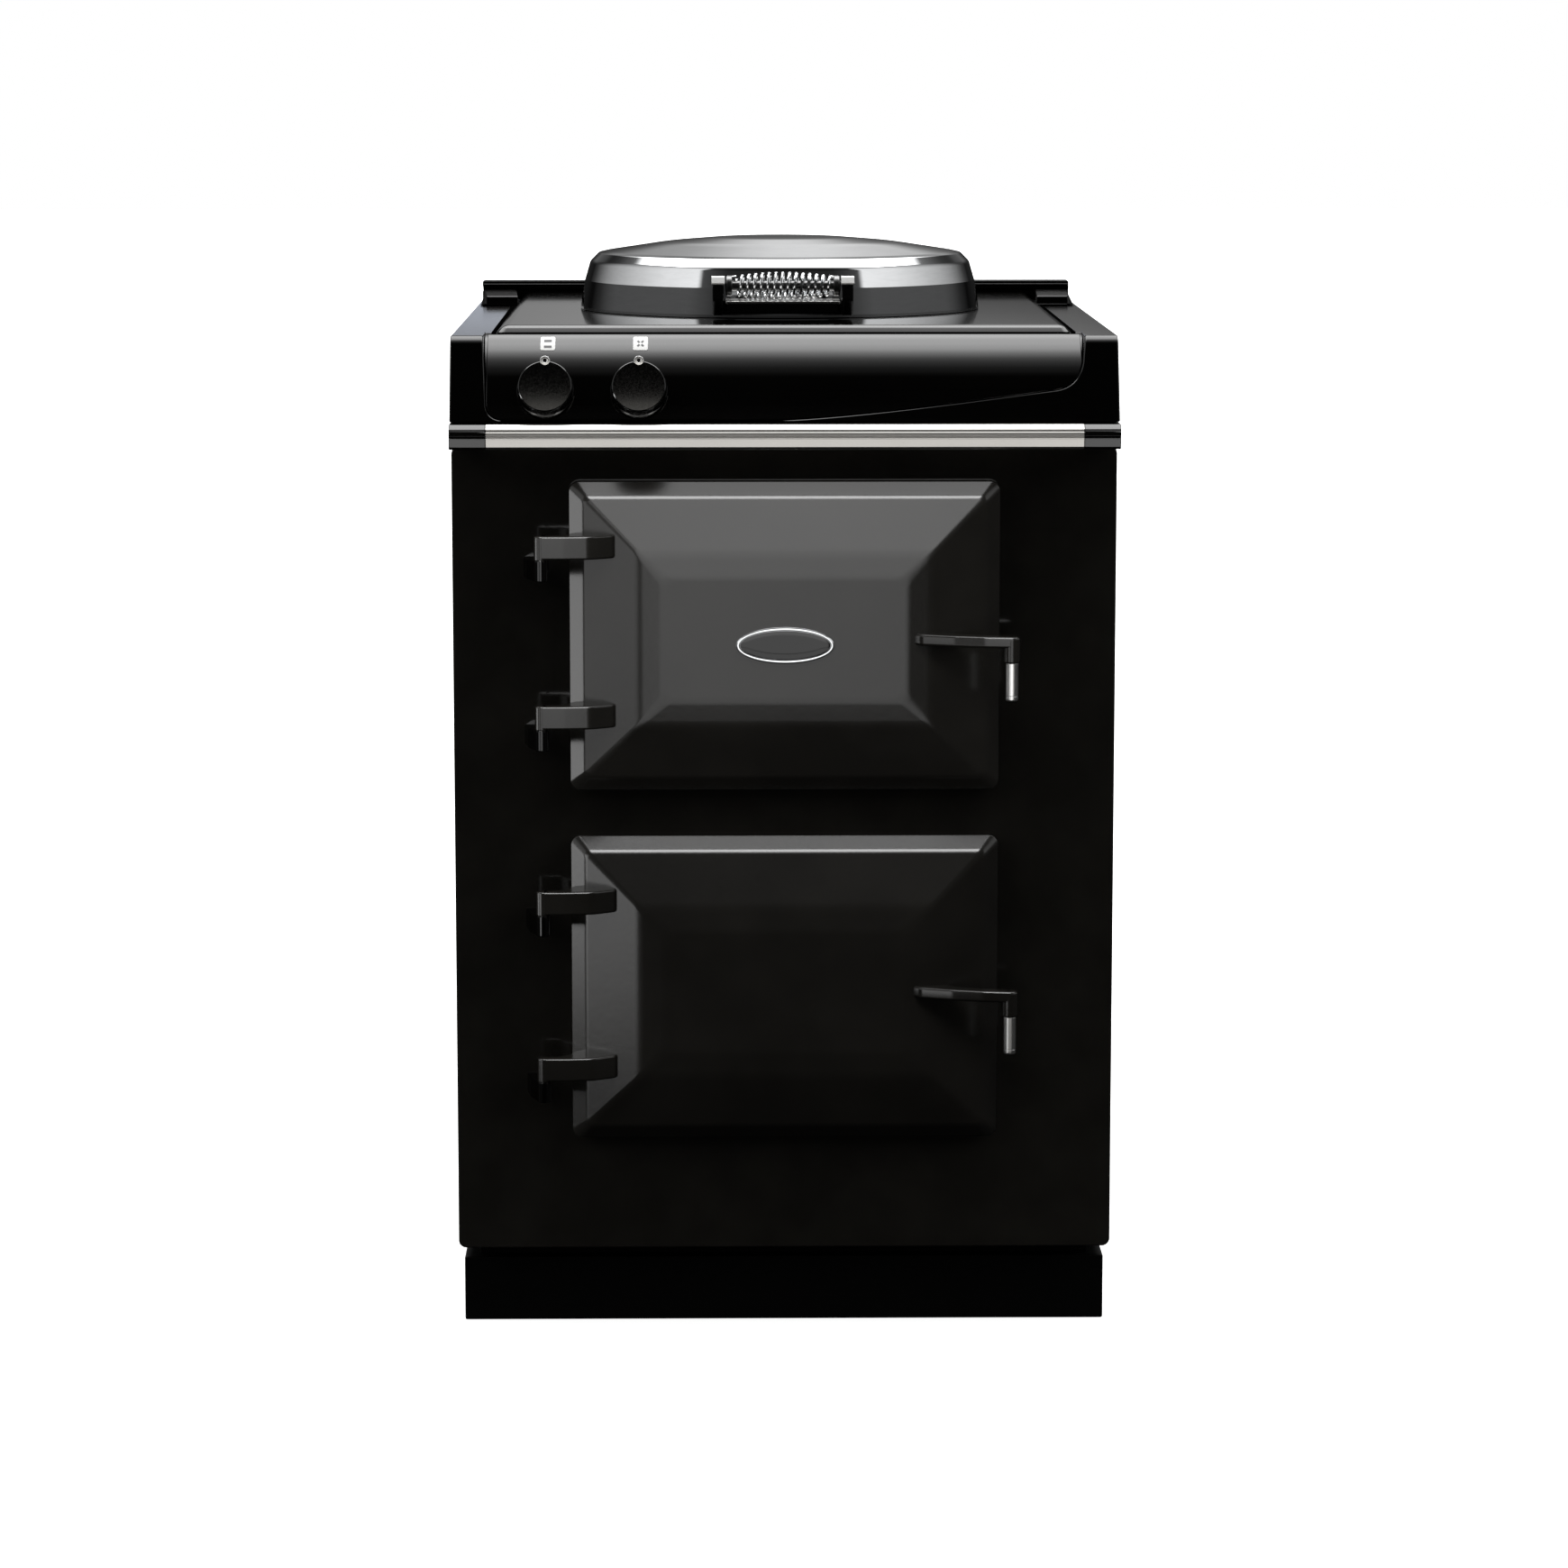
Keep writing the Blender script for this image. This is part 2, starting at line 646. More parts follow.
class Bench:
    """The modelling bench: one mesh at a time is shaped on it."""

    @staticmethod
    def take(obj: Piece | None = None) -> None:
        """Deselects everything, then takes one object in hand."""
        if bpy.context.object and bpy.context.object.mode != "OBJECT":
            bpy.ops.object.mode_set(mode="OBJECT")
        bpy.ops.object.select_all(action="DESELECT")
        if obj is not None:
            obj.select_set(True)
            bpy.context.view_layer.objects.active = obj

    @staticmethod
    @contextmanager
    def editing(obj: Piece, mode: str = "VERT", everything: bool = True) -> Iterator[None]:
        """Opens an object for editing.

        Args:
            obj: the object.
            mode: what is selected: VERT, EDGE or FACE.
            everything: whether all of it is selected first.
        """
        Bench.take(obj)
        bpy.ops.object.mode_set(mode="EDIT")
        bpy.ops.mesh.select_mode(type=mode)
        if everything:
            bpy.ops.mesh.select_all(action="SELECT")
        yield
        bpy.ops.object.mode_set(mode="OBJECT")

    @staticmethod
    def pick(obj: Piece, test: Callable[[bpy.types.MeshPolygon], bool]) -> None:
        """Selects the faces of an object that pass a test, and no others."""
        with Bench.editing(obj, "FACE"):
            bpy.ops.mesh.select_all(action="DESELECT")
        for face in obj.data.polygons:
            face.select = test(face)

    @staticmethod
    def face(name: str, points: Sequence[Vector], filled: bool = True) -> Piece:
        """Adds one flat face, or its outline alone, through points."""
        Bench.take()
        bpy.ops.mesh.primitive_circle_add(vertices=len(points), fill_type="NGON" if filled else "NOTHING")
        obj = bpy.context.object
        obj.name = obj.data.name = name
        for vertex, point in zip(obj.data.vertices, points):
            vertex.co = point
        return obj

    @staticmethod
    def outward(obj: Piece) -> Piece:
        """Merges doubles and turns all faces outwards."""
        with Bench.editing(obj):
            bpy.ops.mesh.remove_doubles(threshold=WELD)
            bpy.ops.mesh.dissolve_degenerate(threshold=WELD)
            bpy.ops.mesh.delete_loose(use_verts=True, use_edges=True, use_faces=False)
        with Bench.editing(obj):
            bpy.ops.mesh.normals_make_consistent(inside=False)
        return obj

    @staticmethod
    def prism(name: str, points: Sequence[Vector], reach: Vector) -> Piece:
        """Extrudes a face through points along a vector."""
        obj = Bench.face(name, points)
        with Bench.editing(obj, "FACE"):
            bpy.ops.mesh.extrude_region_move(TRANSFORM_OT_translate={"value": reach})
        return Bench.outward(obj)

    @staticmethod
    def across(name: str, section: Sequence[Spot], x0: float, x1: float) -> Piece:
        """Extrudes a section of (depth, z) across the width."""
        return Bench.prism(name, [spot(x0, d, z) for d, z in section], Vector(((x1 - x0) * MM, 0, 0)))

    @staticmethod
    def rising(name: str, plan: Sequence[Spot], z0: float, z1: float) -> Piece:
        """Extrudes a plan of (x, depth) upwards."""
        return Bench.prism(name, [spot(x, d, z0) for x, d in plan], Vector((0, 0, (z1 - z0) * MM)))

    @staticmethod
    def inward(name: str, front: Sequence[Spot], d0: float, d1: float) -> Piece:
        """Extrudes a front view of (x, z) from one depth to another."""
        return Bench.prism(name, [spot(x, d0, z) for x, z in front], Vector((0, (d1 - d0) * MM, 0)))

    @staticmethod
    def block(name: str, low: Vector, high: Vector) -> Piece:
        """Adds a block between two corners, as the start of a shape."""
        Bench.take()
        bpy.ops.mesh.primitive_cube_add(size=1, location=(low + high) / 2, scale=high - low)
        obj = bpy.context.object
        obj.name = obj.data.name = name
        bpy.ops.object.transform_apply(location=True, rotation=True, scale=True)
        return obj

    @staticmethod
    def stack(name: str, rings: Sequence[Sequence[Vector]]) -> Piece:
        """Grows a closed body through rings: each is extruded from the last and set to its outline."""
        obj = Bench.face(name, rings[0])
        before = list(rings[0])
        for ring in rings[1:]:
            with Bench.editing(obj, "FACE", everything=len(obj.data.polygons) == 1):
                bpy.ops.mesh.extrude_region_move(TRANSFORM_OT_translate={"value": (0, 0, 0)})
            for vertex in (v for v in obj.data.vertices if v.select):
                i = min(range(len(before)), key=lambda k: (before[k] - vertex.co).length_squared)
                vertex.co = ring[i]
            before = list(ring)
        return Bench.outward(obj)

    @staticmethod
    def lathe(name: str, profile: Sequence[Spot], steps: int = 64, place: Matrix | None = None) -> Piece:
        """Revolves a profile of (radius, height) round its axis.

        Args:
            name: name of the piece.
            profile: the outline of one half, in millimetres.
            steps: pieces round the axis.
            place: where the axis stands, as a matrix whose Z is the axis.

        Returns:
            The piece.
        """
        obj = Bench.face(name, [Vector((r * MM, 0, h * MM)) for r, h in profile], filled=False)
        with Bench.editing(obj):
            bpy.ops.mesh.spin(steps=steps, angle=2 * math.pi, center=(0, 0, 0), axis=(0, 0, 1))
        Bench.outward(obj)
        if place is not None:
            Bench.lay(obj, place)
        return obj

    @staticmethod
    def lay(obj: Piece, place: Matrix) -> Piece:
        """Moves and turns an object, and applies its place to its mesh."""
        obj.matrix_world = place
        Bench.take(obj)
        bpy.ops.object.transform_apply(location=True, rotation=True, scale=True)
        return obj

    @staticmethod
    def tube(
        name: str, points: Sequence[Vector], radius: float, closed: bool = False, sides: int = 3,
    ) -> Piece:
        """Bends a round bar along points."""
        Bench.take()
        bpy.ops.curve.primitive_nurbs_path_add()
        obj = bpy.context.object
        obj.name = name
        obj.data.splines.clear()
        spline = obj.data.splines.new("POLY")
        spline.points.add(len(points) - 1)
        for knot, point in zip(spline.points, points):
            knot.co = (*point, 1)
        spline.use_cyclic_u = closed
        obj.data.bevel_depth = radius * MM
        obj.data.bevel_resolution = sides
        obj.data.use_fill_caps = not closed
        bpy.ops.object.convert(target="MESH")
        obj = bpy.context.object
        obj.data.name = name
        return Bench.outward(obj)

    @staticmethod
    def copy(obj: Piece, name: str, shift: Vector | None = None) -> Piece:
        """Copies an object with its own mesh, and moves the copy."""
        Bench.take(obj)
        bpy.ops.object.duplicate(linked=False)
        twin = bpy.context.object
        twin.name = twin.data.name = name
        if shift is not None:
            Bench.lay(twin, Matrix.Translation(shift))
        return twin

    @staticmethod
    def from_node(name: str, node: str) -> Piece:
        """Copies a solid of the frame to a merged mesh of its own."""
        twin = Bench.copy(frame["nodes"][node], name)
        bpy.ops.object.parent_clear(type="CLEAR_KEEP_TRANSFORM")
        for key in list(twin.keys()):
            del twin[key]
        twin.data.materials.clear()
        bpy.ops.mesh.customdata_custom_splitnormals_clear()
        with Bench.editing(twin):
            bpy.ops.mesh.remove_doubles(threshold=WELD)
            bpy.ops.mesh.dissolve_limited(angle_limit=MERGED_FLAT)
        return twin

    @staticmethod
    def join(obj: Piece, *others: Piece) -> Piece:
        """Puts other objects into one."""
        Bench.take(obj)
        for other in others:
            other.select_set(True)
        bpy.ops.object.join()
        return obj

    @staticmethod
    def modify(obj: Piece, kind: str, **settings: object) -> Piece:
        """Puts a modifier on an object and applies it."""
        modifier = obj.modifiers.new("step", kind)
        for key, value in settings.items():
            setattr(modifier, key, value)
        Bench.take(obj)
        bpy.ops.object.modifier_apply(modifier=modifier.name)
        return obj

    @staticmethod
    def soften(obj: Piece, width: float, segments: int = 3, angle: float = SMOOTH_BELOW) -> Piece:
        """Rounds the edges that are sharper than an angle, once edges too short for it are merged."""
        with Bench.editing(obj):
            bpy.ops.mesh.remove_doubles(threshold=0.3 * width * MM)
        return Bench.modify(
            obj, "BEVEL", width=width * MM, segments=segments, limit_method="ANGLE",
            angle_limit=math.radians(angle), use_clamp_overlap=False, miter_outer="MITER_ARC",
        )

    @staticmethod
    def carve(obj: Piece, tool: Piece, operation: str = "DIFFERENCE") -> Piece:
        """Cuts, joins or intersects an object with a tool, and puts the tool away."""
        Bench.modify(obj, "BOOLEAN", object=tool, operation=operation, solver="EXACT")
        bpy.data.objects.remove(tool)
        with Bench.editing(obj):
            bpy.ops.mesh.remove_doubles(threshold=CUT_WELD)
            bpy.ops.mesh.dissolve_degenerate(threshold=CUT_WELD)
            bpy.ops.mesh.dissolve_limited(angle_limit=FLAT)
        return obj

    @staticmethod
    def shade(obj: Piece, angle: float = SMOOTH_BELOW) -> Piece:
        """Shades faces smoothly across edges that are flatter than an angle."""
        Bench.take(obj)
        bpy.ops.object.shade_smooth_by_angle(angle=math.radians(angle))
        return Bench.modify(obj, "WEIGHTED_NORMAL", keep_sharp=True)


@dataclass(frozen=True)
class Seat:
    """Where a piece belongs: the body it rides on, its material slot and its finish."""

    body: Body
    slot: Slot
    finish: Finish

    def deliver(self, obj: Piece, *stands_for: str) -> Piece:
        """Hands a finished piece to the frame.

        Args:
            obj: the piece, in place.
            stands_for: nodes of the frame that it replaces.

        Returns:
            The piece.
        """
        Bench.shade(obj)
        obj.data.materials.clear()
        obj.data.materials.append(self.finish.material())
        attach(obj, self.body.value)
        if stands_for:
            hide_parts(*stands_for)
        log.info("%s: %d faces, %s", obj.name, len(obj.data.polygons), self.finish.name)
        return obj


def on_cooker(slot: Slot, finish: Finish) -> Seat:
    """A seat on the body that stands still."""
    return Seat(Body.COOKER, slot, finish)


def on_lid(slot: Slot, finish: Finish) -> Seat:
    """A seat on the lid."""
    return Seat(Body.LID, slot, finish)


def refine(node: str, seat: Seat, width: float, segments: int = 3, angle: float = SMOOTH_BELOW) -> Piece:
    """Stands a copy of a solid with softened edges in its place."""
    obj = Bench.from_node(f"{node}_finished", node)
    Bench.soften(obj, width, segments, angle)
    return seat.deliver(obj, node)


# ---------------------------------------------------------------------------
# Casing
# ---------------------------------------------------------------------------

IRON = on_cooker(Slot.ENAMEL_IRON, CAST_ENAMEL)
FIXINGS = on_cooker(Slot.STAINLESS, STEEL)


@dataclass
class Casing:
    """Plinth, panels and front plate."""

    plinth_edge: float = 1.6
    base_edge: float = 0.8
    rear_edge: float = 0.6
    panel_edge: float = 0.9
    plate_edge: float = 1.4
    rear: float = 650.0
    louvre: Triple = (64.0, 7.0, 3.2)
    louvre_pitch: float = 15.0
    louvre_rows: int = 9
    louvre_columns: tuple[float, ...] = (-190.0, -95.0, 0.0, 95.0, 190.0)
    louvre_foot: float = 640.0
    screw_radius: float = 5.0
    screw_inset: float = 14.0
    screw_columns: tuple[float, ...] = (-1.0, -0.33, 0.33, 1.0)
    screw_heights: tuple[float, ...] = (290.0, 490.0, 690.0)
    recess: tuple[Corner, Corner] = ((-2.4, 1.2, -0.45), (2.4, 4.0, 0.45))
    panel_half: float = 295.7
    panel_low: float = 78.3
    panel_high: float = 896.2
    gland_at: Spot = (200.0, 120.0)
    gland_profile: Corners = (
        (6, 4), (6, -21), (10, -21, 0.8), (10, -12, 0.5), (14, -12, 0.8), (14, -3.3), (9.9, -3.3),
        (9.9, 0.3), (12.6, 0.3, 0.4), (12.6, 3.4, 0.9), (8.4, 4, 0.4),
    )

    def build(self) -> None:
        """Builds the casing."""
        under, side, rear = (
            on_cooker(Slot.PLINTH, PLINTH_PAINT), on_cooker(Slot.ENAMEL_SHEET, BODY_ENAMEL),
            on_cooker(Slot.PLINTH, BACK_PAINT),
        )
        refine("plinth", under, self.plinth_edge)
        refine("chassis_base", under, self.base_edge)
        refine("front_plate", on_cooker(Slot.ENAMEL_IRON, BODY_ENAMEL), self.plate_edge, 4)
        for name in ("side_panel_left", "side_panel_right"):
            refine(name, side, self.panel_edge)
        refine("rear_panel", rear, self.rear_edge)
        self.louvres(rear)
        self.screws()
        self.gland()

    def louvres(self, seat: Seat) -> None:
        """Presses rows of hooded louvres in the rear panel."""
        wide, tall, proud = self.louvre
        low, high = spot(-wide / 2, self.rear - 0.2, 0), spot(wide / 2, self.rear + proud, tall)
        hood = Bench.block("rear_louvres", low, high)
        Bench.pick(hood, lambda face: face.normal.y > UPRIGHT)
        with Bench.editing(hood, "FACE", everything=False):
            bpy.ops.transform.resize(value=(0.9, 1, 0.45), center_override=spot(0, self.rear, tall))
        Bench.soften(hood, 0.9, 3)
        copies = []
        for column in self.louvre_columns:
            for row in range(self.louvre_rows):
                if column or row:
                    shift = Vector((column, 0, self.louvre_foot + row * self.louvre_pitch)) * MM
                    copies.append(Bench.copy(hood, "louvre", shift))
        Bench.lay(hood, Matrix.Translation(Vector((0, 0, self.louvre_foot)) * MM))
        seat.deliver(Bench.join(hood, *copies))

    def screws(self) -> None:
        """Sets domed screws with a cross recess round the rear panel."""
        along = Matrix.Rotation(-math.pi / 2, 4, "X")
        head = Bench.lathe("rear_screws", rounded([
            (0, 0), (self.screw_radius, 0), (self.screw_radius, 0.7, 0.3), (3.2, 2.0, 1.6), (0, 2.3),
        ], closed=False), 20, along)
        for turn in (0.0, math.pi / 2):
            cross = Bench.block("recess", *(Vector(corner) * MM for corner in self.recess))
            Bench.carve(head, Bench.lay(cross, Matrix.Rotation(turn, 4, "Y")))
        places = []
        for x in self.screw_columns:
            for z in (self.panel_low + self.screw_inset, self.panel_high - self.screw_inset):
                places.append(spot(x * (self.panel_half - self.screw_inset), self.rear, z))
        for z in self.screw_heights:
            for x in (-1, 1):
                places.append(spot(x * (self.panel_half - self.screw_inset), self.rear, z))
        copies = [Bench.copy(head, "screw", place) for place in places[1:]]
        Bench.lay(head, Matrix.Translation(places[0]))
        FIXINGS.deliver(Bench.join(head, *copies))

    def gland(self) -> None:
        """Turns the cable gland with its round nut outside the panel."""
        x, z = self.gland_at
        place = stand(x, self.rear, z) @ Matrix.Rotation(-math.pi / 2, 4, "X")
        body = Bench.lathe("cable_gland_finished", rounded(self.gland_profile), 48, place)
        on_cooker(Slot.BLACK_PLASTIC, GLAND_MOULDING).deliver(body, "cable_gland")


# ---------------------------------------------------------------------------
# Hob top
# ---------------------------------------------------------------------------


@dataclass
class Fascia:
    """The rounded front: the casting round the hob, its brow, and the control panel."""

    half: float = 299.0
    centre: Spot = (50.0, 799.5)
    reach: float = 78.0
    rise: float = 110.0
    proud: float = 3.5
    wall: float = 9.0
    foot: float = 834.3
    top: float = 909.5
    thick: float = 13.0
    rear: float = 650.0
    brow_foot: float = -29.0
    brow_tilt: float = 22.0
    brow_round: float = 14.0
    cheek_back: float = 70.0
    panel_half: float = 266.4
    panel_bottom: float = 836.2
    sweep: Stops = ((-9.0, 0.0), (55.0, 1.8), (150.0, 14.3), (240.0, 25.8))
    bend_x: float = 262.0
    seam: float = 0.5
    gap: float = 3.6
    window: tuple[Spot, Spot] = ((-245.0, 72.0), (245.0, 615.0))

    def arc(self, offset: float, low: float, high: float, steps: int = 36) -> list[Spot]:
        """Points up the ellipse of the rounded front, grown by an offset."""
        wide, tall = self.reach + offset, self.rise + offset
        start, end = (math.asin(min(1.0, (z - self.centre[1]) / tall)) for z in (low, high))
        angles = [start + (end - start) * i / steps for i in range(steps + 1)]
        return [(self.centre[0] - wide * math.cos(t), self.centre[1] + tall * math.sin(t)) for t in angles]

    def surface(self, z: float) -> tuple[float, float]:
        """Depth and lean of the control panel's face at a height."""
        wide, tall = self.reach + self.proud, self.rise + self.proud
        t = math.asin((z - self.centre[1]) / tall)
        return self.centre[0] - wide * math.cos(t), math.atan2(math.sin(t) / tall, math.cos(t) / wide)

    def panel_outline(self, grow: float, top_half: float, ceiling: float) -> list[Spot]:
        """Gives the front outline of the control panel, with its sweep up to the right.

        Args:
            grow: how far the outline is grown.
            top_half: half its width at the top.
            ceiling: height of its top.

        Returns:
            The outline as (x, z).
        """
        half, bottom = self.panel_half + grow, self.panel_bottom - grow
        sweep = [(x, bottom + z) for x, z in self.sweep]
        bend = [sweep[-1], (self.bend_x + grow, bottom + 27.8), (half, bottom + 49.8)]
        corner = [(-half, bottom + 16), (-half, bottom), (-half + 18, bottom)]
        return [
            corner[-1], *bezier(sweep, 24), *bezier(bend, 12)[1:], (top_half, ceiling),
            (-top_half, ceiling), *bezier(corner, 8)[:-1],
        ]

    def brow(self) -> list[Spot]:
        """Points up the front of the brow and round its top edge."""
        lean = math.radians(self.brow_tilt)
        back = self.brow_foot + (self.top - self.foot) * math.tan(lean)
        line = [(self.brow_foot, self.foot), (back, self.top, self.brow_round), (back + 60, self.top)]
        return rounded(line, 10, closed=False)[:-1]

    def build(self) -> None:
        """Builds the casting and the panel."""
        under = self.top - self.thick
        inner = [p for p in reversed(self.arc(-self.wall, self.foot, under + 4, 20)) if p[1] < under - 1]
        casting = Bench.across("hob_surround_finished", [
            *self.arc(0, self.foot, self.top), (self.rear, self.top), (self.rear, under),
            (self.centre[0] + 8, under), *inner,
        ], -self.half, self.half)
        low, high = self.window
        window = Bench.block("window", spot(*low, under - 5), spot(*high, self.top + 5))
        Bench.carve(casting, window)
        ledge = Bench.across("ledge", [
            *self.brow(), (self.cheek_back, self.top), (self.cheek_back, self.foot),
        ], -self.half, self.half)
        recess = self.panel_outline(self.seam, self.panel_half + self.gap, self.top + 5)
        Bench.carve(ledge, Bench.inward("recess", recess, -80, 80))
        Bench.carve(casting, ledge, "UNION")
        Bench.soften(casting, 1.5, 4, 40)
        on_cooker(Slot.ENAMEL_IRON, TOP_ENAMEL).deliver(casting, "hob_surround")
        self.panel()

    def panel(self) -> None:
        """Builds the control panel."""
        ceiling = self.top - 0.3
        skin = Bench.across("control_panel_finished", [
            *self.arc(self.proud, self.panel_bottom - 2, ceiling),
            *reversed(self.arc(0.3, self.panel_bottom - 2, ceiling)),
        ], -self.half, self.half)
        shape = Bench.inward("shape", self.panel_outline(0, self.panel_half, ceiling + 1), -60, 60)
        Bench.carve(skin, shape, "INTERSECT")
        Bench.soften(skin, 0.9, 3, 12)
        on_cooker(Slot.ENAMEL_SHEET, SHEET_ENAMEL).deliver(skin, "control_panel")


@dataclass
class HobTop:
    """Hob plate with the seal along its sides, hotplate, vent rail and trim."""

    top: float = 917.0
    seat: float = 909.8
    half: float = 259.0
    front: float = 35.0
    back: float = 626.6
    foot: float = 910.6
    slope: Spot = (3.4, 913.8)
    bend: float = 12.0
    bend_start: float = 47.0
    corner: float = 8.0
    seal_half: Spot = (259.4, 264.0)
    seal_high: float = 910.3
    hot_centre: float = 330.0
    hot_radius: float = 175.5
    rail_bottom: float = 909.8
    rail_span: Spot = (-298.4, 298.4)
    rail_profile: Corners = (
        (627, 909.8, 0.6), (654, 909.8, 0.6), (654, 928.5, 2.4), (627, 928.5, 1.0), (627, 925.9),
        (626.2, 925.3, 0.2), (626.2, 924.6, 0.2), (627, 924.2, 0.3), (627, 922.8, 0.5),
        (646, 922.8, 0.8), (646, 919, 0.8), (628.2, 919), (627, 918.2),
    )
    trim_profile: Corners = (
        (12, 811, 0.3), (12, 820, 0.3), (-6, 820), (-6, 833.2, 0.4), (-39.4, 833.2, 1.6),
        (-44, 828.8, 1.2), (-43.3, 827.5, 0.5), (-43.3, 826.8, 0.5), (-43.9, 826, 0.8),
        (-43.9, 823.2, 0.6), (-42.9, 822.6, 0.3), (-42.9, 821.4, 0.3), (-43.9, 820.6, 0.6),
        (-42.6, 813.2, 2.0), (-41, 811, 0.8),
    )
    trim_half: float = 266.0
    arm: tuple[float, float, float, float] = (264.0, 296.0, 500.0, 919.8)
    arm_taper: float = 0.975

    def build(self) -> None:
        """Builds the top."""
        self.plate()
        self.seals()
        self.hotplate()
        self.rail()
        self.trim()

    def plan(self, inset: float, z: float) -> list[Vector]:
        """Outline of the hob plate at an inset from its edge."""
        w, front, back = self.half - inset, self.front + inset, self.back - inset
        r = self.corner - 0.6 * inset
        plan = rounded([(-w, front, r), (w, front, r), (w, back, r), (-w, back, r)])
        return [spot(x, d, z) for x, d in plan]

    def plate(self) -> None:
        """Builds the hob plate with its sloped and rounded edge, and its hole."""
        run, rise = self.slope
        rings = [self.plan(0.0, self.seat), self.plan(0.0, self.foot)]
        lean = math.radians(self.bend_start)
        for i in range(9):
            t = lean + (math.pi / 2 - lean) * i / 8
            inset = run + self.bend * (math.cos(lean) - math.cos(t))
            share = (math.sin(t) - math.sin(lean)) / (1 - math.sin(lean))
            rings.append(self.plan(inset, rise + (self.top - rise) * share))
        plate = Bench.stack("hob_plate_finished", rings)
        place = stand(0, self.hot_centre, self.top)
        radius = self.hot_radius + 0.9
        Bench.carve(plate, Bench.lathe("hole", [(0, -20), (radius, -20), (radius, 20), (0, 20)], 128, place))
        Bench.soften(plate, 0.4, 2, 40)
        on_cooker(Slot.ENAMEL_IRON, HOB_ENAMEL).deliver(plate, "hob_plate")

    def seals(self) -> None:
        """Lays a matt black strip along each side of the hob plate."""
        inner, outer = self.seal_half
        strips = []
        for low, high in ((-outer, -inner), (inner, outer)):
            plan = rounded([(low, 44, 2), (high, 44, 2), (high, self.arm[2] - 1), (low, self.arm[2] - 1)], 4)
            strip = Bench.rising("hob_seal", plan, self.rail_bottom - 0.2, self.seal_high)
            strips.append(Bench.soften(strip, 0.3, 2, 50))
        on_cooker(Slot.BLACK_PLASTIC, SEAL_BLACK).deliver(Bench.join(*strips))

    def hotplate(self) -> None:
        """Turns the hotplate with a shallow rim and turning marks."""
        r, h = self.hot_radius, self.top
        place = stand(0, self.hot_centre, 0)
        disc = Bench.lathe("hotplate_finished", rounded([
            (0, h - 24), (r - 6, h - 24, 1), (r, h - 18, 1), (r, h - 0.2, 1.6), (r - 7, h - 0.2, 0.6),
            (r - 8, h - 0.9, 0.6), (r - 11, h - 0.9, 0.6), (r - 12, h - 0.3, 0.6), (0, h - 0.3),
        ], 4, closed=False), 128, place)
        centre = spot(0, self.hot_centre, 0)
        finish = TurnedIron("hotplate_iron", (centre.x, centre.y))
        on_cooker(Slot.RAW_IRON, finish).deliver(disc, "hotplate")

    def rail(self) -> None:
        """Builds the vent rail: a rounded bar over a slot, with two arms along the sides."""
        low = self.rail_bottom
        bar = Bench.across("rear_vent_rail_finished", rounded(self.rail_profile, 4), *self.rail_span)
        Bench.soften(bar, 1.6, 4, 70)
        inner, outer, front, crest = self.arm
        parts = []
        for low_x, high_x in ((-outer, -inner), (inner, outer)):
            arm = Bench.across("arm", [
                (631, low), (631, crest), (front + 1.5, crest), (front, crest - 1.1), *rounded([
                    (front, low + 2.2, 0.2), (front - 0.8, low + 1.6, 0.2), (front - 0.8, low, 0.2),
                ], 3),
            ], low_x, high_x)
            Bench.pick(arm, lambda face: face.normal.y < -0.3)
            with Bench.editing(arm, "FACE", everything=False):
                bpy.ops.transform.resize(value=(self.arm_taper, 1, 1), center_override=spot(0, front, low))
            parts.append(Bench.soften(arm, 1.6, 4, 80))
        on_cooker(Slot.ENAMEL_IRON, RAIL_ENAMEL).deliver(Bench.join(bar, *parts), "rear_vent_rail")

    def trim(self) -> None:
        """Builds the steel rail, with two grooves along its face, and its two enamelled caps."""
        section = rounded(self.trim_profile, 4)
        steel = Bench.across("trim_rail_finished", section, -self.trim_half, self.trim_half)
        on_cooker(Slot.STAINLESS, TRIM_STEEL).deliver(Bench.soften(steel, 0.35, 2, 55), "trim_rail")
        for side, low, high in (("left", -299, -266.3), ("right", 266.3, 299)):
            cap = Bench.across(f"trim_cap_{side}_finished", section, low, high)
            IRON.deliver(Bench.soften(cap, 0.9, 3, 55), f"trim_cap_{side}")


# ---------------------------------------------------------------------------
# Lid
# ---------------------------------------------------------------------------


LID_BLACK = on_lid(Slot.BLACK_IRON, BLACK_FITTING)


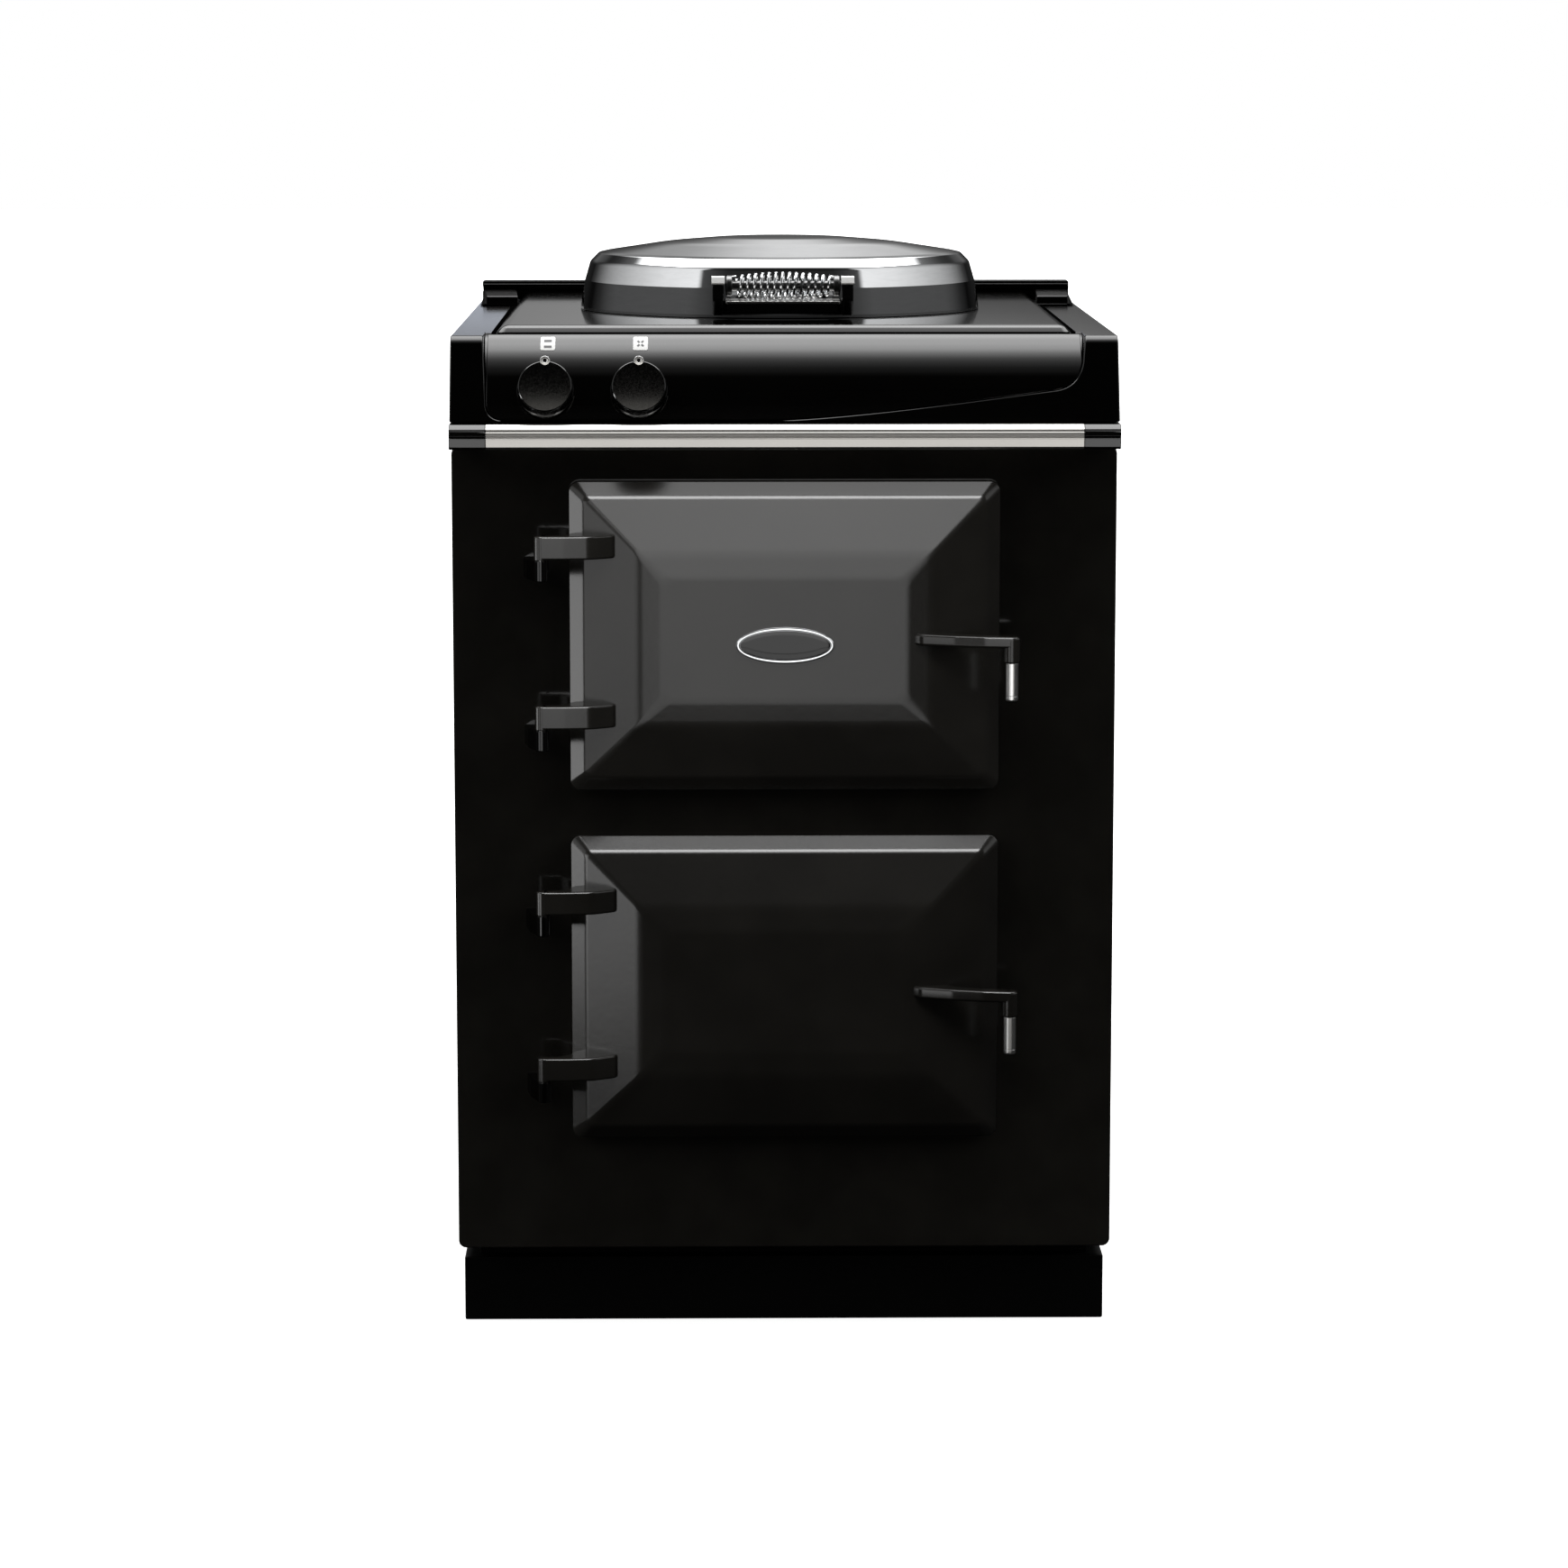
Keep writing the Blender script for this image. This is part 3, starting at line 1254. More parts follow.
@dataclass
class Lid:
    """The chromed lid with its liner and hinge."""

    hob: float = 917.0
    centre: float = 330.0
    wall: float = 2.0
    profile: Corners = (
        (190.5, 0.4, 0.6), (190.5, 3.0, 1.2), (186.4, 27.5, 3.0), (181.2, 45.4, 8.0), (173.2, 53.4, 2.5),
        (166.0, 55.0, 40.0), (110.0, 63.6, 300.0), (60.0, 67.8, 300.0),
    )
    crown: float = 69.3
    liner: Corners = (
        (0, 1.8), (60, 1.8, 4), (66, 3.0, 3), (120, 3.0, 3), (126, 1.8, 4), (182, 1.6, 1),
        (187.5, 2.2, 0.8), (187.5, 4.4), (0, 4.4),
    )

    def outer(self, grow: float = 0.0) -> list[Spot]:
        """Outer profile of the lid from its foot to the crown, grown by an offset."""
        wall = [(r + grow, h, *more) for r, h, *more in self.profile]
        return rounded([(0.0, -10.0), *wall, (0.0, self.crown + grow)], 8, closed=False)[1:]

    def place(self) -> Matrix:
        """The lid's axis."""
        return stand(0, self.centre, self.hob)

    def build(self) -> None:
        """Builds the lid."""
        outer = self.outer()
        inner = [(max(0.0, r - self.wall), h - self.wall) for r, h in outer if h > 4]
        section = [*outer, *reversed(inner), (self.profile[0][0] - self.wall, 0.4)]
        shell = Bench.lathe("lid_shell_finished", section, 160, self.place())
        on_lid(Slot.CHROME, CHROME).deliver(shell, "lid_shell")
        liner = Bench.lathe("lid_liner_finished", rounded(self.liner, 4), 128, self.place())
        on_lid(Slot.STAINLESS, LINER_METAL).deliver(liner, "lid_liner")
        refine("lid_hinge_base", on_cooker(Slot.BLACK_IRON, BLACK_FITTING), 1.0)
        refine("lid_hinge_pin", FIXINGS, 0.8)
        refine("lid_hinge_arm", LID_BLACK, 1.0)


@dataclass
class LidHandle:
    """The handle: a steel plate, two black posts, a rod with collars, and a coil round the rod."""

    depth: float = 108.0
    height: float = 948.7
    space: float = 93.0
    wire: float = 3.0
    turns: int = 14
    ends: float = 7.6
    middle: float = 11.3
    collar: float = 6.0
    post: float = 12.2
    slim: float = 0.9
    plate_half: float = 52.4
    plate_span: Spot = (932.9, 935.4)
    block_foot: float = 922.0

    def build(self, lid: Lid) -> None:
        """Builds the handle on a lid."""
        self.coil()
        self.rod()
        self.posts(lid)
        self.plate()

    def plate(self) -> None:
        """Builds the thin plate between the posts, and the black block that carries it."""
        half, (foot, top) = self.plate_half, self.plate_span
        plate = Bench.rising("lid_handle_bracket_finished", rounded([
            (-half, 97.2, 1.5), (half, 97.2, 1.5), (half, 150), (-half, 150),
        ]), foot, top)
        Bench.soften(plate, 0.8, 3, 50)
        on_lid(Slot.STAINLESS, STEEL).deliver(plate, "lid_handle_bracket")
        plan = [(-half, 136.2), (half, 136.2), (half, 156), (-half, 156)]
        block = Bench.rising("lid_handle_block", plan, self.block_foot, foot)
        Bench.soften(block, 1.5, 3, 50)
        LID_BLACK.deliver(block)

    def coil(self) -> None:
        """Winds the coil: straight ends, and turns that swell to the middle."""
        reach = self.space / 2 - 0.3
        wound = reach - self.wire
        per_turn = 20
        steps = self.turns * per_turn
        points = []
        for i in range(-1, steps + 2):
            turn = min(max(i, 0), steps) / per_turn
            x = -reach if i < 0 else reach if i > steps else -wound + 2 * wound * i / steps
            r = self.ends + (self.middle - self.ends) * (1 - (x / reach) ** 2)
            angle = 2 * math.pi * turn
            points.append(spot(x, self.depth + r * math.sin(angle), self.height + r * math.cos(angle)))
        coil = Bench.tube("lid_handle_coil_wire", points, self.wire / 2)
        on_lid(Slot.CHROME, CHROME).deliver(coil, "lid_handle_coil")

    def rod(self) -> None:
        """Turns the rod with its two collars."""
        half = self.space / 2
        end = half + self.collar + 0.3
        profile = rounded([
            (0, -end), (5, -end), (5, -half - self.collar, 0.4), (9.3, -half - self.collar + 0.6, 1.4),
            (9.3, -half, 0.8), (4.5, -half, 0.4), (4.5, half, 0.4), (9.3, half, 0.8),
            (9.3, half + self.collar - 0.6, 1.4), (5, half + self.collar, 0.4), (5, end), (0, end),
        ], 4, closed=False)
        place = stand(0, self.depth, self.height) @ Matrix.Rotation(math.pi / 2, 4, "Y")
        rod = Bench.lathe("lid_handle_rod_finished", profile, 40, place)
        on_lid(Slot.STAINLESS, COLLAR_STEEL).deliver(rod, "lid_handle_rod")

    def posts(self, lid: Lid) -> None:
        """Shapes the two posts against the wall of the lid."""
        d, z = self.depth, self.height
        inner = self.space / 2 + self.collar + 0.6
        side = rounded([
            (d - 9.6, z + 1.6, 1), (d - 4, z + 8.2, 3), (d + 9.5, z + 8.2, 3), (d + 14, z - 4, 12),
            (160, z - 18), (160, 921), (d + 14, 921, 6), (d - 9.6, z - 13, 4),
        ], 6)
        cap_section = rounded([
            (d - 9.9, z + 1.0, 0.8), (d - 11.3, z + 2.4, 1.2), (d - 6.3, z + 8.7, 1.6),
            (d + 4, z + 8.9, 0.4), (d + 4, z + 8.3), (d - 4, z + 8.3),
        ], 4)
        for name, low in (("left", -inner - self.post), ("right", inner)):
            post = Bench.across(
                f"lid_handle_post_{name}_finished", side, low + self.slim, low + self.post - self.slim,
            )
            wall = Bench.lathe("wall", [(0, -10), (190.8, -10), *lid.outer(0.3)], 96, lid.place())
            Bench.soften(Bench.carve(post, wall), 1.4, 4, 50)
            LID_BLACK.deliver(post, f"lid_handle_post_{name}")
            cap = Bench.across(f"lid_handle_cap_{name}", cap_section, low, low + self.post)
            on_lid(Slot.STAINLESS, CAP_STEEL).deliver(Bench.soften(cap, 0.5, 3, 50))


# ---------------------------------------------------------------------------
# Doors
# ---------------------------------------------------------------------------


@dataclass
class Door:
    """One cast door with its hinge arms, handle, liner and seal."""

    which: str
    body: Body
    centre: float
    half_width: float = 193.5
    height: float = 279.0
    relief: Corners = (
        (0.0, -3.0), (0.0, -12.0, 1.6), (13.0, -23.2, 13.0), (62.0, -38.2, 60.0), (84.0, -41.0, 60.0),
        (118.0, -41.0),
    )
    corner_radii: Stops = (
        (0.0, 9.0), (9.0, 7.5), (16.0, 5.0), (50.0, 3.0), (70.0, 6.0), (84.0, 10.0), (118.0, 14.0),
    )
    hinge: Spot = (-218.0, -45.0)
    drops: tuple[tuple[str, float], ...] = (("top", 45.5), ("bottom", 198.0))
    knuckle: float = 6.0
    knuckle_tall: float = 21.8
    bore: float = 3.3
    bracket_tall: float = 18.8
    grip: Triple = (202.0, -62.0, 5.6)
    grip_span: Spot = (-52.3, -18.3)
    boss: float = 7.2
    arm_span: Spot = (-4.8, 5.5)
    liner_half: Spot = (158.0, 104.0)
    liner_span: Spot = (-2.7, 22.0)
    hinge_arm_plan: Corners = (
        (-219, -51), (-198, -51, 30), (-172, -48, 24), (-152, -34, 10), (-150, -16), (-189, -10),
        (-197, -30, 8), (-205, -39.4, 8), (-219, -39.2),
    )

    def seat(self, slot: Slot = Slot.ENAMEL_IRON, finish: Finish = DOOR_ENAMEL) -> Seat:
        """A seat on this door."""
        return Seat(self.body, slot, finish)

    def build(self) -> None:
        """Builds the door."""
        self.casting()
        self.brackets()
        self.handle()
        self.liner()
        refine(f"{self.which}_door_seal", self.seat(Slot.ROPE, ROPE), 1.0, 4)

    def radius(self, inset: float) -> float:
        """Radius of the relief's corners at an inset."""
        for (a, ra), (b, rb) in zip(self.corner_radii, self.corner_radii[1:]):
            if inset <= b:
                return ra + (rb - ra) * max(0.0, inset - a) / (b - a)
        return self.corner_radii[-1][1]

    def ring(self, inset: float, depth: float) -> list[Vector]:
        """Ring of the relief at an inset from the edge."""
        hw, hh, r = self.half_width - inset, self.height / 2 - inset, self.radius(inset)
        ring = []
        for sx, sz, start in ((1, -1, -0.5), (1, 1, 0.0), (-1, 1, 0.5), (-1, -1, 1.0)):
            for i in range(8):
                t = math.pi * (start + 0.5 * i / 7)
                x, z = sx * (hw - r) + r * math.cos(t), sz * (hh - r) + r * math.sin(t)
                ring.append(spot(x, depth, self.centre + z))
        return ring

    def casting(self) -> None:
        """Shapes the hipped casting and its two hinge arms."""
        line = rounded(self.relief, 6, closed=False)
        rings = [self.ring(inset, depth) for inset, depth in line]
        slab = Bench.stack(f"{self.which}_door_casting_finished", rings)
        top = self.centre + self.height / 2
        parts = []
        x, depth = self.hinge
        for _, drop in self.drops:
            head = top - drop
            parts.append(self.hinge_arm(head))
            bore, r, foot = self.bore, self.knuckle, -self.knuckle_tall
            parts.append(Bench.lathe("knuckle", rounded([
                (bore, foot), (r, foot, 0.8), (r, 0, 1.6), (0, 0), (0, -2.4), (bore, -2.4),
            ], 5), 32, stand(x, depth, head)))
        self.seat().deliver(Bench.join(slab, *parts), f"{self.which}_door_casting")

    def hinge_arm(self, head: float) -> Piece:
        """Shapes one arm from the knuckle to the slope of the door."""
        arm = Bench.rising("hinge_arm", rounded(self.hinge_arm_plan, 6), head - self.knuckle_tall + 0.6, head)
        return Bench.soften(arm, 2.2, 4, 50)

    def brackets(self) -> None:
        """Shapes the brackets that stand on the front plate under the knuckles, and finishes the pins."""
        x, depth = self.hinge
        top = self.centre + self.height / 2
        for end, drop in self.drops:
            head = top - drop - self.knuckle_tall - 0.4
            name = f"{self.which}_hinge_bracket_{end}"
            foot = Bench.rising(f"{name}_finished", rounded([
                (-235, -0.3), (-223, -0.3, 2), (-221, -24, 20), (x + 5.6, depth + 2), (x + 5, depth - 2),
                (x - 5, depth - 2), (-231, -24, 20),
            ], 5), head - self.bracket_tall, head - 0.6)
            Bench.soften(foot, 1.6, 3, 50)
            bore, r, base = self.bore, self.knuckle - 0.2, -self.bracket_tall
            post = Bench.lathe("bracket_post", rounded([
                (0, base), (r, base, 1.4), (r, 0, 0.6), (bore, 0), (bore, base + 3), (0, base + 3),
            ], 5), 32, stand(x, depth, head))
            IRON.deliver(Bench.join(foot, post), name)
            refine(f"{self.which}_hinge_pin_{end}", FIXINGS, 0.5)

    def handle(self) -> None:
        """Shapes the handle arm with its boss, and the satin grip."""
        x, depth, r = self.grip
        low, high = self.arm_span
        b = self.boss
        arm = Bench.rising(f"{self.which}_door_handle_arm_finished", rounded([
            (112, -35), (122, -47, 14), (150, -58, 40), (178, -65.6, 40), (x, depth - b),
            (x + 3, depth - b + 1), (x + 3, depth + b - 1), (x, depth + b), (180, -52, 40), (158, -43, 20),
            (146, -31),
        ], 6), self.centre + low, self.centre + high)
        Bench.soften(arm, 2.4, 4, 50)
        place = stand(x, depth, self.centre)
        boss = Bench.lathe("handle_boss", rounded([
            (0, self.grip_span[1] + 0.4), (b, self.grip_span[1] + 0.4, 1.2), (b, high, 3.0), (0, high),
        ], 6, closed=False), 40, place)
        self.seat().deliver(Bench.join(arm, boss), f"{self.which}_door_handle_arm")
        foot, head = self.grip_span
        grip = Bench.lathe(f"{self.which}_door_handle_grip_finished", rounded([
            (0, foot), (r, foot, 1.4), (r, foot + 4, 0.2), (r - 0.35, foot + 4.4, 0.2), (r, foot + 4.8, 0.2),
            (r, head, 0.7), (0, head),
        ], 4, closed=False), 40, place)
        self.seat(Slot.STAINLESS, GRIP_STEEL).deliver(grip, f"{self.which}_door_handle_grip")

    def liner(self) -> None:
        """Presses a shallow panel into the rear of the inner door liner."""
        half, tall = self.liner_half
        low, high = self.centre - tall, self.centre + tall
        plug = Bench.inward(f"{self.which}_door_liner_finished", rounded([
            (-half, low, 8), (half, low, 8), (half, high, 8), (-half, high, 8),
        ], 5), *self.liner_span)
        Bench.pick(plug, lambda face: face.normal.y > UPRIGHT)
        with Bench.editing(plug, "FACE", everything=False):
            bpy.ops.mesh.inset(thickness=6.5 * MM)
            bpy.ops.mesh.inset(thickness=1.2 * MM, depth=-3 * MM)
        Bench.soften(plug, 1.4, 4, 50)
        self.seat(Slot.OVEN_ENAMEL, OVEN_ENAMEL).deliver(plug, f"{self.which}_door_liner")


@dataclass
class DoorPlate:
    """Bare oval plate on the upper door: a chrome rim round a black field."""

    half_wide: float = 44.0
    half_tall: float = 16.5
    height: float = 636.0
    face: float = -41.3

    def ring(self, inset: float, depth: float) -> list[Vector]:
        """Oval ring at an inset from the edge."""
        count = 64
        return [
            spot((self.half_wide - inset) * math.cos(2 * math.pi * i / count), depth,
                 self.height + (self.half_tall - inset) * math.sin(2 * math.pi * i / count))
            for i in range(count)
        ]

    def build(self) -> None:
        """Builds the plate."""
        f = self.face
        line = rounded([
            (0, f), (0, f - 3.2, 0.8), (1.2, f - 4.0, 0.8), (2.6, f - 4.0, 0.5), (3.2, f - 3.2),
            (3.4, f - 2.4),
        ], 4, closed=False)
        rim = Bench.stack("door_plate_rim", [self.ring(i, d) for i, d in line])
        Seat(Body.UPPER_DOOR, Slot.CHROME, CHROME).deliver(rim, "door_plate")
        field_line = [(3.5, f - 2.3), (3.5, f - 3.0), (5.0, f - 3.25), (9.0, f - 3.45), (13.0, f - 3.55)]
        plate = Bench.stack("door_plate_field", [self.ring(i, d) for i, d in field_line])
        Seat(Body.UPPER_DOOR, Slot.ENAMEL_IRON, SHEET_ENAMEL).deliver(plate)


# ---------------------------------------------------------------------------
# Ovens
# ---------------------------------------------------------------------------


@dataclass
class Oven:
    """One oven: enamelled liner with runners, and a wire shelf."""

    which: str
    centre: float
    half_width: float = 165.0
    shelf_drop: float = 38.0
    shelf_span: Spot = (46.0, 458.0)
    rim_wire: float = 2.3
    bar_wire: float = 1.5
    bars: int = 13

    def build(self) -> None:
        """Builds the oven."""
        refine(f"{self.which}_oven_liner", on_cooker(Slot.OVEN_ENAMEL, OVEN_ENAMEL), 1.0)
        self.shelf()

    def shelf(self) -> None:
        """Bends the shelf's rim and lays its bars."""
        z = self.centre - self.shelf_drop
        half = self.half_width - 5.2
        front, back = self.shelf_span
        loop = rounded([(-half, front, 14), (half, front, 14), (half, back, 14), (-half, back, 14)], 6)
        shelf = Bench.tube(
            f"{self.which}_oven_shelf_finished", [spot(x, d, z - 0.3) for x, d in loop], self.rim_wire,
            closed=True,
        )
        parts = []
        for i in range(1, self.bars + 1):
            x = -half + 2 * half * i / (self.bars + 1)
            ends = [spot(x, front, z + 0.4), spot(x, back, z + 0.4)]
            parts.append(Bench.tube("bar", ends, self.bar_wire, sides=2))
        for d in (front + 140, front + 280):
            ends = [spot(-half, d, z - 1), spot(half, d, z - 1)]
            parts.append(Bench.tube("brace", ends, self.bar_wire, sides=2))
        on_cooker(Slot.STAINLESS, CHROME).deliver(Bench.join(shelf, *parts), f"{self.which}_oven_shelf")


# ---------------------------------------------------------------------------
# Controls
# ---------------------------------------------------------------------------


@dataclass
class Control:
    """One knob with its marker, and the pictogram tile over it."""

    which: str
    body: Body
    x: float
    tile_x: float
    fascia: Fascia
    height: float = 860.5
    skirt: float = 25.8
    radius: float = 24.0
    front: float = 16.8
    sag: float = 0.6
    marker: float = 4.5
    tile_half: float = 6.6
    tile_span: Spot = (896.4, 907.4)

    def place(self) -> Matrix:
        """The knob's axis: its Z leaves the panel, its Y runs up the panel."""
        depth, lean = self.fascia.surface(self.height)
        turn = Matrix.Rotation(math.pi / 2 - lean, 4, "X")
        return stand(self.x, depth, self.height) @ turn

    def build(self) -> None:
        """Builds the control."""
        self.knob()
        self.tile()

    def crown(self) -> list[Spot]:
        """Points over the slightly domed face, from its rim to its middle."""
        rim = self.radius - 0.9
        return [(rim * (1 - i / 10), self.front - self.sag * (1 - i / 10) ** 2) for i in range(11)]

    def knob(self) -> None:
        """Turns the knob, and sets the round marker in a lug at its top."""
        r, f = self.radius, self.front
        knob = Bench.lathe(f"{self.which}_knob_finished", rounded([
            (0, -28), (3, -28, 0.4), (3, 0.8), (self.skirt - 0.3, 0.8, 0.3), (self.skirt, 3.4, 1.6),
            (r + 1.4, 6.0, 2.0), (r + 0.4, 7.6), (r, f - 1.4, 0.8), *self.crown(),
        ], 6, closed=False), 96, self.place())
        lug_place = self.place() @ Matrix.Translation(Vector((0, 23.6, 0)) * MM)
        lug = Bench.lathe("marker_lug", rounded([
            (0, 3), (self.marker + 0.3, 3), (self.marker + 0.2, f + 0.1, 0.3), (0, f + 0.1),
        ], 4, closed=False), 32, lug_place)
        seat = Seat(self.body, Slot.KNOB, KNOB_MOULDING)
        seat.deliver(Bench.join(knob, lug), f"{self.which}_knob")
        ring = Bench.lathe(f"{self.which}_knob_marker", rounded([
            (1.7, f - 0.9), (self.marker, f - 0.9), (self.marker, f + 0.7, 0.5), (2.2, f + 0.8, 0.4),
            (1.7, f + 0.4, 0.2),
        ], 4), 32, lug_place)
        Seat(self.body, Slot.CHROME, MARKER_STEEL).deliver(ring)

    def skin(self, name: str, offset: float, outline: Sequence[Spot], depth: float = 0.4) -> Piece:
        """Lays a thin shape on the face of the panel.

        Args:
            name: name of the piece.
            offset: its foot over the panel's face.
            outline: its outline as (x, z) from the middle of the tile.
            depth: how far it sinks in from its face.

        Returns:
            The piece.
        """
        low, high = self.tile_span
        middle = (low + high) / 2
        proud = self.fascia.proud
        shell = Bench.across(name, [
            *self.fascia.arc(proud + offset, low - 1, high + 0.8, 16),
            *reversed(self.fascia.arc(proud + offset - depth, low - 1, high + 0.8, 16)),
        ], self.tile_x - 9, self.tile_x + 9)
        shape = Bench.inward("shape", [(self.tile_x + x, middle + z) for x, z in outline], -60, 60)
        return Bench.carve(shell, shape, "INTERSECT")

    def glyph(self) -> list[list[Spot]]:
        """Strokes of the pictogram: two bars for the oven, a four-pointed plate for the hotplate."""
        if self.which == "oven":
            return [[(-3.4, z), (3.4, z), (3.4, z + 2.0), (-3.4, z + 2.0)] for z in (-3.6, 1.2)]
        strokes = []
        for turn in (45, 135, 225, 315):
            along = Vector((math.cos(math.radians(turn)), math.sin(math.radians(turn))))
            side = Vector((-along.y, along.x)) * 0.9
            corners = (along * 1.2 - side, along * 3.8 - side, along * 3.8 + side, along * 1.2 + side)
            strokes.append([(c.x, c.y * 0.85) for c in corners])
        return strokes

    def tile(self) -> None:
        """Lays the white tile and its pictogram on the panel."""
        half, tall = self.tile_half, (self.tile_span[1] - self.tile_span[0]) / 2
        outline = rounded([(-half, -tall, 1.4), (half, -tall, 1.4), (half, tall, 1.4), (-half, tall, 1.4)], 5)
        tile = self.skin(f"{self.which}_tile", 0.35, outline)
        on_cooker(Slot.ENAMEL_SHEET, TILE_WHITE).deliver(tile)
        parts = [self.skin(f"{self.which}_pictogram", 0.42, stroke, 0.2) for stroke in self.glyph()]
        glyph = Bench.join(*parts)
        glyph.name = glyph.data.name = f"{self.which}_pictogram"
        on_cooker(Slot.ENAMEL_SHEET, TILE_INK).deliver(glyph)


# ---------------------------------------------------------------------------
# Studio
# ---------------------------------------------------------------------------


UPPER = ("upper_door_", "upper_hinge", "door_plate")
LOWER = ("lower_door_", "lower_hinge")
CASTINGS = ("_door_casting",)
LOWER_CASTING = ("lower_door_casting",)
STEEL_TRIM, TRIM_CAPS, PLATE, KNOBS = ("trim_rail",), ("trim_cap",), ("hob_plate",), ("_knob",)
BRIGHT_STEEL = ("_handle_grip", "handle_coil", "handle_cap")
OVER_DOORS = ("trim_", "hob_surround", "control_panel")
WARM = (1.0, 0.98, 0.95)
OVER_TRIM = ((0.0, -0.9, 3.0), (0.0, -0.33, 0.83), (4.0, 1.7))
UNDER_TRIM = ((0.0, -2.2, 0.03), (0.0, -2.2, 1.0), (4.0, 1.8))


@dataclass
class Softbox:
    """A soft light, which can be kept to some pieces and can shine through others."""

    name: str
    place: Triple
    target: Triple
    size: Spot
    glow: float
    tint: Triple = (1.0, 1.0, 1.0)
    only: tuple[str, ...] = ()
    through: tuple[str, ...] = ()

    def hang(self) -> None:
        """Hangs the light."""
        Bench.take()
        bpy.ops.object.light_add(type="AREA", location=self.place)
        light = bpy.context.object
        light.name = light.data.name = self.name
        aim = Vector(self.target) - Vector(self.place)
        light.rotation_mode = "QUATERNION"
        light.rotation_quaternion = aim.to_track_quat("-Z", "Y")
        light.data.shape = "RECTANGLE"
        light.data.size, light.data.size_y = self.size
        light.data.energy = self.glow * self.size[0] * self.size[1] * math.pi
        light.data.color = self.tint
        light.visible_camera = False
        links = light.light_linking
        if self.only:
            links.receiver_collection = self.gather(f"{self.name}_lit", self.only, "INCLUDE")
        if self.through:
            links.blocker_collection = self.gather(f"{self.name}_clear", self.through, "EXCLUDE")

    @staticmethod
    def gather(name: str, words: tuple[str, ...], state: str) -> bpy.types.Collection:
        """Collects the pieces whose name holds one of the words, and links or unlinks them."""
        members = bpy.data.collections.new(name)
        for obj in bpy.data.objects:
            if obj.type == "MESH" and any(word in obj.name for word in words):
                members.objects.link(obj)
        for member in members.collection_objects:
            member.light_linking.link_state = state
        return members


LIGHTS = (
    Softbox("upper_door_slope", (0.2, -3.0, 2.25), (0.0, -0.3, 0.72), (1.5, 1.0), 2.9, only=UPPER),
    Softbox("upper_door_side", (-2.1, -2.6, 0.75), (-0.2, -0.3, 0.64), (1.6, 1.6), 1.4, only=UPPER),
    Softbox("upper_door_face", (-0.2, -3.33, 0.35), (-0.2, 0.0, 0.35), (1.7, 0.64), 1.55, only=UPPER),
    Softbox("upper_door_bend", (-0.2, -3.33, 0.97), (-0.2, 0.0, 0.97), (1.7, 0.6), 2.2, only=UPPER),
    Softbox("upper_door_rise", (-0.1, -3.33, 1.55), (-0.1, 0.0, 1.55), (1.8, 0.56), 2.6, only=UPPER),
    Softbox("upper_door_floor", (-0.2, -2.5, 0.03), (-0.2, -2.5, 1.0), (1.5, 1.4), 1.5, only=UPPER),
    Softbox("lower_door_side", (-2.1, -2.6, 0.5), (-0.2, -0.3, 0.32), (1.3, 1.6), 2.6, only=LOWER),
    Softbox("lower_door_edge", (0.0, -2.2, 2.1), (0.0, -0.3, 0.45), (1.4, 0.5), 1.5, only=LOWER_CASTING),
    Softbox("door_left_edge", (-3.0, -0.8, 0.6), (0.0, -0.3, 0.6), (1.4, 1.6), 3.5, only=CASTINGS),
    Softbox(
        "crease_strip", (0.0, -2.0, 2.9), (0.0, -0.3, 0.7), (1.4, 1.1), 14.0,
        only=(*CASTINGS, "_handle_arm"),
    ),
    Softbox(
        "door_edge_glow", (0.0, -0.6, 3.2), (0.0, -0.3, 0.7), (1.8, 1.2), 3.0,
        only=("_door_", "_hinge_"), through=OVER_DOORS,
    ),
    Softbox(
        "ledge_glow", (-0.8, 4.0, 1.25), (-0.8, 0.0, 0.9), (1.8, 0.7), 0.6, (0.9, 0.97, 1.12),
        only=("hob_surround",),
    ),
    Softbox("hob_left_glow", (-0.85, 4.0, 1.45), (-0.85, 0.0, 0.9), (1.7, 1.0), 0.25, only=PLATE),
    Softbox("steel_front", (0.0, -3.4, 0.6), (0.0, 0.0, 0.75), (4.0, 1.3), 1.1, WARM, BRIGHT_STEEL),
    Softbox("trim_slope", *OVER_TRIM, 1.7, (1.0, 0.99, 0.97), STEEL_TRIM, through=KNOBS),
    Softbox("trim_face", (0.0, -3.4, 0.58), (0.0, 0.0, 0.58), (4.0, 0.9), 0.2, WARM, STEEL_TRIM),
    Softbox("trim_foot", *UNDER_TRIM, 0.85, WARM, STEEL_TRIM),
    Softbox("cap_slope", *OVER_TRIM, 6.0, only=TRIM_CAPS),
    Softbox("cap_foot", *UNDER_TRIM, 2.4, only=TRIM_CAPS),
    Softbox("hob_edge_glow", (0.0, 0.5, 3.0), (0.0, -0.25, 0.92), (1.6, 0.7), 3.0, only=PLATE),
    Softbox("lower_door_flank", (-2.4, -2.2, 0.5), (-0.2, -0.3, 0.32), (1.0, 1.6), 1.4, only=LOWER_CASTING),
    Softbox("knob_side", (-2.6, -0.9, 0.95), (-0.2, -0.3, 0.86), (0.3, 0.5), 14.0, only=KNOBS),
    Softbox("knob_fill", (0.0, -2.75, 2.2), (0.0, -0.3, 0.86), (1.8, 1.2), 1.6, (1.0, 0.97, 0.9), KNOBS),
)


